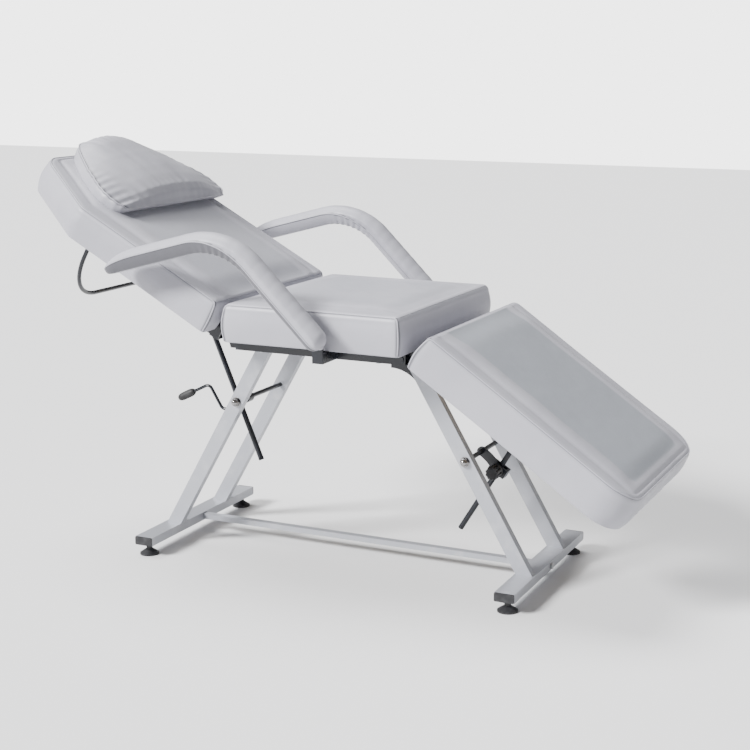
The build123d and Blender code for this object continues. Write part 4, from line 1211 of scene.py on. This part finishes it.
@dataclass
class Armrest:
    """A padded armrest: narrow keel, bowed sides, domed top and a bend over the seat's side."""

    name: str
    node: str
    side: float
    centre_y: float = 0.355
    width: float = 0.064
    shoulder: float = 0.031
    dome: float = 0.0195
    keel_width: float = 0.038
    rear_x: float = -0.47475
    rear_z: float = 0.749
    rise: float = 15.1
    fall: float = 44.7
    top_length: float = 0.248
    bend_radius: float = 0.152
    fall_length: float = 0.250
    bow_share: float = 0.72
    keel_steps: int = 6
    side_steps: int = 8
    dome_steps: int = 18
    rear_round: float = 0.030
    rear_taper: float = 0.100
    tip_share: float = 0.34
    rear_shares: Triple = (0.46, 0.54, 0.20)
    end_round: float = 0.026
    end_shares: Triple = (0.40, 0.60, 0.50)
    end_rows: int = 9
    end_rings: tuple[tuple[float, float], ...] = ((0.72, 0.0028), (0.4, 0.0042))
    end_tip: float = 0.0046
    row_margin: float = 0.05
    pitch: float = 0.006
    piping: float = 0.0016
    piping_pitch: float = 0.004
    # painted shade: how far the outer side below the shoulder, and the seam lines, are darkened towards the
    # vinyl's gap colour
    painted_outer_shade: float = 0.80
    painted_seam_shade: float = 0.85
    seam_drop: float = 4.0
    drop_run: float = 0.16
    fold_place: float = 0.55
    fold_reach: float = 0.055
    fold_pitch: float = 0.0165
    fold_depth: float = 0.0030
    fold_sway: float = 1.3
    fold_slant: float = 90.0
    crease_pitch: float = 0.031
    crease_depth: float = 0.0005
    crease_slant: float = 60.0
    heart_share: float = 0.8
    fill: float = 0.75

    @property
    def bend(self) -> float:
        """Returns the keel's length round the bend."""
        return self.bend_radius * math.radians(self.rise + self.fall)

    @property
    def length(self) -> float:
        """Returns the keel's whole length."""
        return self.top_length + self.bend + self.fall_length

    @property
    def shoulders(self) -> Spot:
        """Returns the numbers of the section's two shoulder points."""
        near = self.keel_steps + self.side_steps
        return near, near + self.dome_steps

    def station(self, distance: float) -> Triple:
        """The keel's place and heading.

        Args:
            distance: how far along the armrest.

        Returns:
            X, Z and the heading in radians.
        """
        rise, fall = math.radians(self.rise), -math.radians(self.fall)
        bend = self.bend_radius * (rise - fall)
        x = self.rear_x + min(distance, self.top_length) * math.cos(rise)
        z = self.rear_z + min(distance, self.top_length) * math.sin(rise)
        if distance <= self.top_length:
            return x, z, rise
        turned = min(1.0, (distance - self.top_length) / bend)
        heading = rise + (fall - rise) * turned
        cx, cz = x + self.bend_radius * math.sin(rise), z - self.bend_radius * math.cos(rise)
        x, z = cx - self.bend_radius * math.sin(heading), cz + self.bend_radius * math.cos(heading)
        rest = max(0.0, distance - self.top_length - bend)
        return x + rest * math.cos(heading), z + rest * math.sin(heading), heading

    def shares(self, distance: float) -> Triple:
        """How full the section is near the ends.

        Args:
            distance: how far along the armrest.

        Returns:
            Shares of the width and height, and the keel's lift.
        """
        def rounding(gap: float, reach: float) -> float:
            """Returns how far a quarter round has risen, from 0 to 1."""
            return math.sqrt(max(0.0, 1 - (1 - min(1.0, max(0.0, gap) / reach)) ** 2))

        if distance < self.rear_taper:
            least, gain, lift = self.rear_shares
            rear = rounding(distance, self.rear_round)
            tall = self.tip_share + (1 - self.tip_share) * rounding(distance, self.rear_taper)
            return least + gain * rear, tall, lift * (1 - rear)
        least, gain, lift = self.end_shares
        low = rounding(self.length - distance, self.end_round)
        return least + gain * low, least + gain * low, lift * (1 - low)

    def section(self, distance: float) -> np.ndarray:
        """One cross-section, as across and up from the keel.

        Args:
            distance: how far along the armrest.

        Returns:
            The section's points, with the shoulders at fixed places.
        """
        wide, tall, lift_share = self.shares(distance)
        half, keel = self.width / 2 * wide, self.keel_width / 2 * wide
        lift = lift_share * self.shoulder
        shoulder = lift + (self.shoulder - lift) * tall
        peak = shoulder + self.dome * tall
        belly, bow = (shoulder + lift) / 2, keel + (half - keel) * self.bow_share
        steps = self.keel_steps
        base = np.column_stack([np.linspace(-keel, keel, steps + 1)[:-1], np.full(steps, lift)])
        near = arc_through((keel, lift), (bow, belly), (half, shoulder), self.side_steps)
        top = arc_through((half, shoulder), (0.0, peak), (-half, shoulder), self.dome_steps)
        far = arc_through((-half, shoulder), (-bow, belly), (-keel, lift), self.side_steps)
        return np.vstack([base, near, top, far])

    def seam_at(self, distance: float) -> float:
        """Returns how many steps below the shoulder the seam runs, which is more past the bend."""
        return self.seam_drop * float(smoothstep(np.array((distance - self.top_length) / self.drop_run)))

    def gathered(self, distance: float, loop: np.ndarray) -> np.ndarray:
        """Folds the cover at the inside of the bend and wrinkles it elsewhere.

        Args:
            distance: how far along the armrest.
            loop: the section.

        Returns:
            The section with its folds.
        """
        middle = self.top_length + self.bend * self.fold_place
        near = math.exp(-(((distance - middle) / self.fold_reach) ** 2))
        height = loop[:, 1] / self.shoulder
        low = np.clip(1 - height, 0.0, 1.0)
        phase = distance / self.fold_pitch * math.tau + self.fold_sway * np.sin(loop[:, 0] * self.fold_slant)
        fold = self.fold_depth * np.sin(phase) * near * np.sqrt(low)
        along = distance / self.crease_pitch * math.tau + loop[:, 1] * self.crease_slant
        crease = self.crease_depth * np.sin(along) * np.clip(height, 0, 1)
        away = loop - np.array([0.0, self.shoulder * self.heart_share])
        size = np.maximum(np.linalg.norm(away, axis=1), 1e-6)[:, None]
        return loop + away / size * (fold + np.minimum(crease, 0.0))[:, None]

    def rows(self) -> list[float]:
        """Spaces the sections, closer together at the rounded ends.

        Returns:
            How far along the armrest each one is.
        """
        total = self.length
        count = int((total - self.row_margin) / self.pitch)
        body = np.linspace(self.rear_round, total - self.end_round, count)
        turns = np.linspace(0.0, math.pi / 2, self.end_rows)[:-1]
        rear = self.rear_round * (1 - np.cos(turns))
        return [*rear, *body, *(total - self.end_round * (1 - np.cos(turns)))[::-1]]

    def build(self, material: Material) -> Piece:
        """Makes the armrest's pad and its piping.

        Args:
            material: the vinyl.

        Returns:
            The pad.
        """
        distances = self.rows()
        loops = [self.placed(d, self.gathered(d, self.section(d))) for d in distances]
        count = len(loops[0])
        rear = list(range(count))
        faces, front = stacked(rear, loops[1:], count)
        points, base = list(loops), len(loops) * count
        for ring, loop, way in ((rear, loops[0], -1.0), (front, loops[-1], 1.0)):
            middle = loop.mean(0)
            heading = self.station(0.0 if way < 0 else self.length)[2]
            ahead = np.array([math.cos(heading), 0.0, math.sin(heading)]) * way
            inner = [middle + (loop - middle) * share + ahead * reach for share, reach in self.end_rings]
            end_faces, last = stacked(ring, inner, base)
            base += count * len(inner)
            points += [*inner, (middle + ahead * self.end_tip)[None, :]]
            faces += end_faces + [(last[k], last[(k + 1) % count], base) for k in range(count)]
            base += 1
        everything = np.vstack(points)
        piece = blank(self.name, everything, faces)
        face_out(piece)
        # painted shade: the "seam" attribute darkens the seams and the outer side below the shoulder
        shade(piece, "seam", self.marks(distances, len(everything), count))
        smoothed(piece)
        upholster(piece, material, self.node, "base")
        near, far = self.seams(distances, loops)
        path = eased(evened(np.array(near + far[::-1]), self.piping_pitch, True), 4, True)
        lay_piping(self.name + "_piping", path, self.piping, True, material, "base")
        return piece

    def seams(self, distances: list[float], loops: list[np.ndarray]) -> list[list[np.ndarray]]:
        """Finds where the two seams run.

        Args:
            distances: how far along the armrest each section is.
            loops: the sections' points on the chair.

        Returns:
            The points of the near seam and of the far one.
        """
        found: list[list[np.ndarray]] = [[], []]
        for distance, loop in zip(distances, loops):
            drop = self.seam_at(distance)
            whole, part = int(drop), drop - int(drop)
            below = min(whole + 1, self.side_steps - 2)
            for seam, first, way in zip(found, self.shoulders, (-1, 1)):
                seam.append(loop[first + way * whole] * (1 - part) + loop[first + way * below] * part)
        return found

    def marks(self, distances: list[float], total: int, count: int) -> np.ndarray:
        """Marks painted shade: dark lines along the seams, and darkening of the side towards the sitter's
        outside, below the shoulder.

        Args:
            distances: how far along the armrest each section is.
            total: the number of vertices.
            count: the number in a section.

        Returns:
            A share from 0 to 1 for each vertex.
        """
        near, far = self.shoulders
        marks = np.zeros(total)
        for k, distance in enumerate(distances):
            drop = int(round(self.seam_at(distance)))
            outer = range(self.keel_steps, near - drop) if self.side > 0 else range(far + 1 + drop, count)
            # painted shade on the outer side below the shoulder
            for spot in outer:
                marks[k * count + spot] = self.painted_outer_shade
            # painted shade lines along both seams
            for spot in (near - drop, far + drop):
                marks[k * count + spot] = self.painted_seam_shade
        return marks

    def placed(self, distance: float, loop: np.ndarray) -> np.ndarray:
        """Stands a section on the keel.

        Args:
            distance: how far along the armrest.
            loop: the section, across and up.

        Returns:
            The section's points on the chair.
        """
        x, z, heading = self.station(distance)
        return np.column_stack([
            x - loop[:, 1] * math.sin(heading),
            self.side * self.centre_y + loop[:, 0],
            z + loop[:, 1] * math.cos(heading),
        ])


@dataclass
class Pillow:
    """The tapered head pillow, gathered along its front edge and piped round."""

    back: BoxCushion
    name: str = "headrest_pillow_cover"
    node: str = "headrest_pillow"
    start: float = 0.376
    length: float = 0.290
    width: float = 0.516
    head_width: float = 0.240
    offset: float = 0.040
    shoulder_share: float = 0.56
    tuck: float = 0.005
    draw: float = 0.004
    base_steps: int = 22
    side_steps: int = 7
    dome_steps: int = 44
    row_runs: tuple[tuple[float, float, int], ...] = ((0.0, 0.1, 9), (0.1, 0.9, 34), (0.9, 1.0, 8))
    end_rings: tuple[tuple[float, float], ...] = ((0.6, 0.0035), (0.2, 0.0050))
    end_width: float = 0.985
    end_gain: float = 0.01
    clear: float = 0.0006
    wave_room: float = 0.0022
    piping: float = 0.0019
    piping_pitch: float = 0.004
    piping_bow: float = 0.004
    bridge_steps: int = 40
    # painted shade: how dark the cover is made along the shoulder seams
    painted_seam_shade: float = 0.9
    crease_above: float = 0.03
    front_reach: float = 0.16
    front_depth: float = 0.0042
    front_pleats: Triple = (210.0, 2.2, 31.0)
    head_reach: float = 0.14
    head_depth: float = 0.0032
    head_pleats: float = 260.0
    side_depth: float = 0.0034
    side_pleats: tuple[float, float] = (74.0, 20.0)
    side_start: float = 0.66
    side_run: float = 0.22
    waves: tuple[Waves, Waves] = (Waves((11.0, 9.0, 9.0), 0.0034), Waves((8.0, 38.0, 9.0), 0.0016, 4.0))
    voxel: float = 0.006
    looseness: float = 0.6
    loose_above: float = 0.045
    loose_run: float = 0.03
    seed: float = 9.0
    fill: float = 0.65
    profile: tuple[tuple[float, float, float, float], ...] = (
        (0.0, 0.86, 0.020, 0.038), (0.033, 0.94, 0.010, 0.055), (0.1, 1.0, -0.007, 0.068),
        (0.235, 1.0, -0.007, 0.074), (0.36, 0.91, -0.007, 0.077), (0.587, 0.63, -0.007, 0.080),
        (0.8, 0.28, -0.007, 0.078), (0.89, 0.1, -0.007, 0.074), (0.96, -0.08, 0.004, 0.065),
        (1.0, -0.25, 0.025, 0.050),
    )

    @property
    def shoulders(self) -> Spot:
        """Returns the numbers of the section's two shoulder points."""
        near = self.base_steps + self.side_steps
        return near, near + self.dome_steps

    def section(self, share: float) -> np.ndarray:
        """One cross-section across the backrest, as across and above its plane.

        Args:
            share: how far from the front edge, of the pillow's length.

        Returns:
            The section's points.
        """
        table = np.array(self.profile)
        wide, under, top = (float(np.interp(share, table[:, 0], table[:, k])) for k in (1, 2, 3))
        half = self.head_width / 2 + (self.width - self.head_width) / 2 * wide
        shoulder = under + (top - under) * self.shoulder_share
        belly, waist, steps = (under + shoulder) / 2, half - self.tuck, self.base_steps
        base = np.column_stack([np.linspace(-waist, waist, steps + 1)[:-1], np.full(steps, under)])
        near_edge, far_edge = (half - self.draw, shoulder), (self.draw - half, shoulder)
        near = arc_through((waist, under), (half, belly), near_edge, self.side_steps)
        dome = arc_through(near_edge, (0.0, top), far_edge, self.dome_steps)
        far = arc_through(far_edge, (-half, belly), (-waist, under), self.side_steps)
        return np.vstack([base, near, dome, far])

    def build(self, material: Material) -> Piece:
        """Makes the pillow and its piping.

        Args:
            material: the vinyl.

        Returns:
            The pillow.
        """
        loops = []
        for share in np.unique(np.concatenate([np.linspace(*run) for run in self.row_runs])):
            loop = self.section(share)
            x = np.full(len(loop), self.back.high_x - self.start - self.length * share)
            points = np.column_stack([x, loop[:, 0] + self.offset, self.back.high + loop[:, 1]])
            loops.append(self.creased(points, share))
        count = len(loops[0])
        front = list(range(count))
        faces, head = stacked(front, loops[1:], count)
        pieces, base = list(loops), len(loops) * count
        for ring, loop, way in ((front, loops[0], 1.0), (head, loops[-1], -1.0)):
            inner = [self.shrunk(loop, share, way * reach) for share, reach in self.end_rings]
            end_faces, last = stacked(ring, inner, base)
            base += count * len(inner)
            pieces += inner
            faces += end_faces + [tuple(last if way > 0 else reversed(last))]
        flat = np.vstack(pieces)
        piece = blank(self.name, flat, faces)
        marks = np.zeros(len(flat))
        # painted shade: dark lines along both shoulder seams
        for k in range(len(loops)):
            marks[[k * count + shoulder for shoulder in self.shoulders]] = self.painted_seam_shade
        shade(piece, "seam", marks)
        face_out(piece)
        set_positions(piece, self.back.swing.place(self.resting(positions(piece.data))))
        above = self.back.swing.height(positions(piece.data)) - self.back.high - self.loose_above
        Billow(voxel=self.voxel).swell(piece, self.looseness * smoothstep(above / self.loose_run))
        smoothed(piece)
        upholster(piece, material, self.node, "backrest")
        near, far = (np.array([loop[shoulder] for loop in loops]) for shoulder in self.shoulders)
        self.pipe(near, far, material)
        return piece

    def shrunk(self, loop: np.ndarray, share: float, reach: float) -> np.ndarray:
        """Makes a smaller ring that closes an end.

        Args:
            loop: the end's section.
            share: how much of its height is left.
            reach: how far along X the ring is moved.

        Returns:
            The ring's points.
        """
        inner, middle = loop.copy(), loop[:, 2].mean()
        inner[:, 2] = middle + (loop[:, 2] - middle) * share
        inner[:, 0] += reach
        inner[:, 1] = self.offset + (loop[:, 1] - self.offset) * (self.end_width + self.end_gain * share)
        return inner

    def creased(self, points: np.ndarray, share: float) -> np.ndarray:
        """Gathers the cover towards its edges.

        Args:
            points: one section in the flat drawing.
            share: how far from the front edge.

        Returns:
            The section with its gathers.
        """
        def pleats(phase: np.ndarray) -> np.ndarray:
            """Returns waves from 0 to 1."""
            return np.sin(phase) * 0.5 + 0.5

        made = points.copy()
        above = points[:, 2] > self.back.high + self.crease_above
        front = math.exp(-((share / self.front_reach) ** 2))
        head = math.exp(-(((1 - share) / self.head_reach) ** 2))
        across = points[:, 1]
        close, sway, slow = self.front_pleats
        depth = -self.front_depth * pleats(across * close + sway * np.sin(across * slow)) * front
        depth = depth - self.head_depth * pleats(across * self.head_pleats) * head
        half = np.abs(across - self.offset) / (self.width / 2)
        along, slant = self.side_pleats
        side = -self.side_depth * pleats(share * along + across * slant)
        corner = side * smoothstep((half - self.side_start) / self.side_run)
        broad, fine = (waves.at(points, self.seed) for waves in self.waves)
        made[:, 2] += np.where(above, depth + corner + (broad + fine), 0.0)
        return made

    def resting(self, points: np.ndarray) -> np.ndarray:
        """Lays the underside on the backrest's top.

        Args:
            points: the pillow's vertices in the flat drawing.

        Returns:
            The vertices, none of them in the backrest.
        """
        half = self.back.half_at(points[:, 0]) + self.back.roll
        edge = np.minimum(half - np.abs(points[:, 1]), points[:, 0] - self.back.low_x)
        top = self.back.top_height(points[:, 0], points[:, 1], np.maximum(edge, 0.0)) + self.wave_room
        rolled = np.clip(1 - edge / self.back.roll, 0.0, 1.0)
        top = top - self.back.roll * (1 - np.sqrt(np.clip(1 - rolled ** 2, 0.0, 1.0)))
        made = points.copy()
        made[:, 2] = np.maximum(points[:, 2], np.where(edge > 0, top + self.clear, -1.0))
        return made

    def pipe(self, near: np.ndarray, far: np.ndarray, material: Material) -> None:
        """Lays the piping round the pillow.

        Args:
            near: the seam's points along one side.
            far: the seam's points along the other.
            material: the vinyl.
        """
        def bridge(first: np.ndarray, last: np.ndarray, way: float) -> np.ndarray:
            """Returns points across an end, bowed out a little."""
            share = np.linspace(0.0, 1.0, self.bridge_steps)[1:-1, None]
            line = first * (1 - share) + last * share
            line[:, 0] += way * self.piping_bow * np.sin(math.pi * share[:, 0])
            return line

        path = np.vstack([near, bridge(near[-1], far[-1], -1.0), far[::-1], bridge(far[0], near[0], 1.0)])
        path = self.back.swing.place(eased(evened(self.resting(path), self.piping_pitch, True), 3, True))
        lay_piping(self.name + "_piping", path, self.piping, True, material, "backrest")


@dataclass(frozen=True)
class Upholstery:
    """Every padded piece of the chair."""

    flat: Swing = Swing(0.0, 0.0, 0.0)
    back_swing: Swing = Swing(-0.22505, 0.660, 29.0)
    leg_swing: Swing = Swing(0.25975, 0.5805, 34.4)
    notch_x: tuple[float, float] = (-0.23955, -0.21905)
    notch_y: tuple[float, float] = (0.212, 0.238)
    notch_z: tuple[float, float] = (0.598, 0.6745)

    def build(self, vinyl: Material) -> None:
        """Makes the cushions, armrests and pillow.

        Args:
            vinyl: the cover's material.
        """
        inner, outer = self.notch_y
        seat = BoxCushion(
            "seat_cushion_cover", "seat_cushion", "base", -0.19575, 0.28025, 0.300, 0.593, 0.688,
            PipedEnds.BOTH_SIDES, self.flat, (-0.17375, 0.25825, 0.278), high_gap=0.0055, border=0.060,
            panel_start=0.105, panel_grey=0.22, crease_depth=0.0012, seed=1.0,
        )
        back = BoxCushion(
            "back_cushion_cover", "back_cushion", "backrest", -0.90005, -0.22405, 0.299, 0.603, 0.692,
            PipedEnds.LOW_END, self.back_swing, (-0.64705, -0.27205, 0.273), low_corner=0.030,
            low_square=0.0, taper=(-0.66905, -0.90005, 0.165), panel_grey=0.30, seed=2.0,
            notches=tuple((*self.notch_x, *y, *self.notch_z) for y in ((-outer, -inner), (inner, outer))),
        )
        legs = BoxCushion(
            "leg_cushion_cover", "leg_cushion", "leg_rest", 0.28425, 0.89725, 0.299, 0.593, 0.688,
            PipedEnds.HIGH_END, self.leg_swing, (0.30625, 0.79325, 0.273), high_corner=0.066,
            low_gap=0.0055, high_square=0.0, panel_grey=1.0, crown=0.006, seed=3.0,
        )
        arms = [
            Armrest(f"arm_{word}_cover", f"arm_pad_{word}", side)
            for side, word in ((-1.0, "right"), (1.0, "left"))
        ]
        for padding in (seat, back, legs, *arms, Pillow(back)):
            piece = padding.build(vinyl)
            log.info("%s: %d faces", piece.name, len(piece.data.polygons))


# Studio

@dataclass(frozen=True)
class Lamp:
    """A soft light from far off, the same all over the floor."""

    name: str
    side: Triple
    spread: float
    strength: float

    def hang(self) -> None:
        """Hangs the light, turned to shine from its side."""
        lamp = bpy.data.lights.new(self.name, "SUN")
        lamp.angle, lamp.energy = math.radians(self.spread), self.strength
        holder = bpy.data.objects.new(self.name, lamp)
        holder.location = self.side
        holder.rotation_euler = (-Vector(self.side)).to_track_quat("-Z", "Y").to_euler()
        bpy.context.scene.collection.objects.link(holder)


@dataclass(frozen=True)
class Studio:
    """A pale floor, soft lights and the photograph's camera."""

    eye: Triple = (1.68955, -3.4726, 1.2860)
    azimuth: float = 24.898
    elevation: float = 11.883
    roll: float = 0.13
    lens: float = 73.69
    sensor: float = 36.0
    floor_half: float = 14.0
    floor_cells: int = 12
    lamps: tuple[Lamp, Lamp] = (
        Lamp("key", (-3.0, -3.8, 3.4), 16.0, 8.6), Lamp("over", (-1.6, 0.6, 4.2), 36.0, 3.6),
    )
    air: float = 0.34
    air_colour: Triple = (0.97, 0.98, 1.0)
    backdrop: float = 5.0

    def build(self) -> None:
        """Makes the floor, the lights and the camera."""
        self.lay_floor()
        for lamp in self.lamps:
            lamp.hang()
        self.fill_air()
        self.place_camera()

    def fill_air(self) -> None:
        """Lights the room softly from all round, with a bright backdrop behind the chair."""
        world = bpy.data.worlds.new("studio_air")
        world.use_nodes = True
        tree = world.node_tree
        air = tree.nodes["Background"]
        air.inputs["Color"].default_value = (*self.air_colour, 1.0)
        air.inputs["Strength"].default_value = self.air
        backdrop = tree.nodes.new("ShaderNodeBackground")
        backdrop.inputs["Strength"].default_value = self.backdrop
        chosen = tree.nodes.new("ShaderNodeMixShader")
        seen = tree.nodes.new("ShaderNodeLightPath").outputs["Is Camera Ray"]
        tree.links.new(seen, chosen.inputs["Fac"])
        tree.links.new(air.outputs["Background"], chosen.inputs[1])
        tree.links.new(backdrop.outputs["Background"], chosen.inputs[2])
        tree.links.new(chosen.outputs["Shader"], tree.nodes["World Output"].inputs["Surface"])
        bpy.context.scene.world = world

    def lay_floor(self) -> None:
        """Lays the floor just under the feet."""
        grid = TopGrid(self.floor_cells, self.floor_cells)
        line = np.linspace(-self.floor_half, self.floor_half, self.floor_cells + 1)
        points = np.array([(x, y, 0.0) for x in line for y in line])
        number = np.arange(len(points)).reshape(len(line), len(line))
        floor = blank("studio_floor", points, grid.faces(number, 1))
        floor.data.materials.append(PaleFloor().make())

    def place_camera(self) -> None:
        """Sets the camera where the photograph was taken from."""
        azimuth, elevation, roll = (math.radians(a) for a in (self.azimuth, self.elevation, self.roll))
        level = math.cos(elevation)
        ahead = Vector((-math.sin(azimuth) * level, math.cos(azimuth) * level, -math.sin(elevation)))
        right = Vector((math.cos(azimuth), math.sin(azimuth), 0.0))
        up = right.cross(ahead)
        turn = Matrix.Rotation(-roll, 4, ahead)
        basis = Matrix((right, up, -ahead)).transposed().to_4x4()
        lens = bpy.data.cameras.new("photo_camera")
        lens.lens, lens.sensor_width, lens.sensor_fit = self.lens, self.sensor, "AUTO"
        camera = bpy.data.objects.new("photo_camera", lens)
        camera.matrix_world = Matrix.Translation(Vector(self.eye)) @ turn @ basis
        bpy.context.scene.collection.objects.link(camera)
        bpy.context.scene.camera = camera


def main() -> None:
    """Builds the studio, the finishes and every padded piece."""
    logging.basicConfig(level=logging.INFO, format="%(name)s %(message)s")
    Studio().build()
    finishes = Finishes()
    Ironwork().dress(finishes)
    Upholstery().build(finishes.vinyl)


if __name__ == "__main__":
    main()
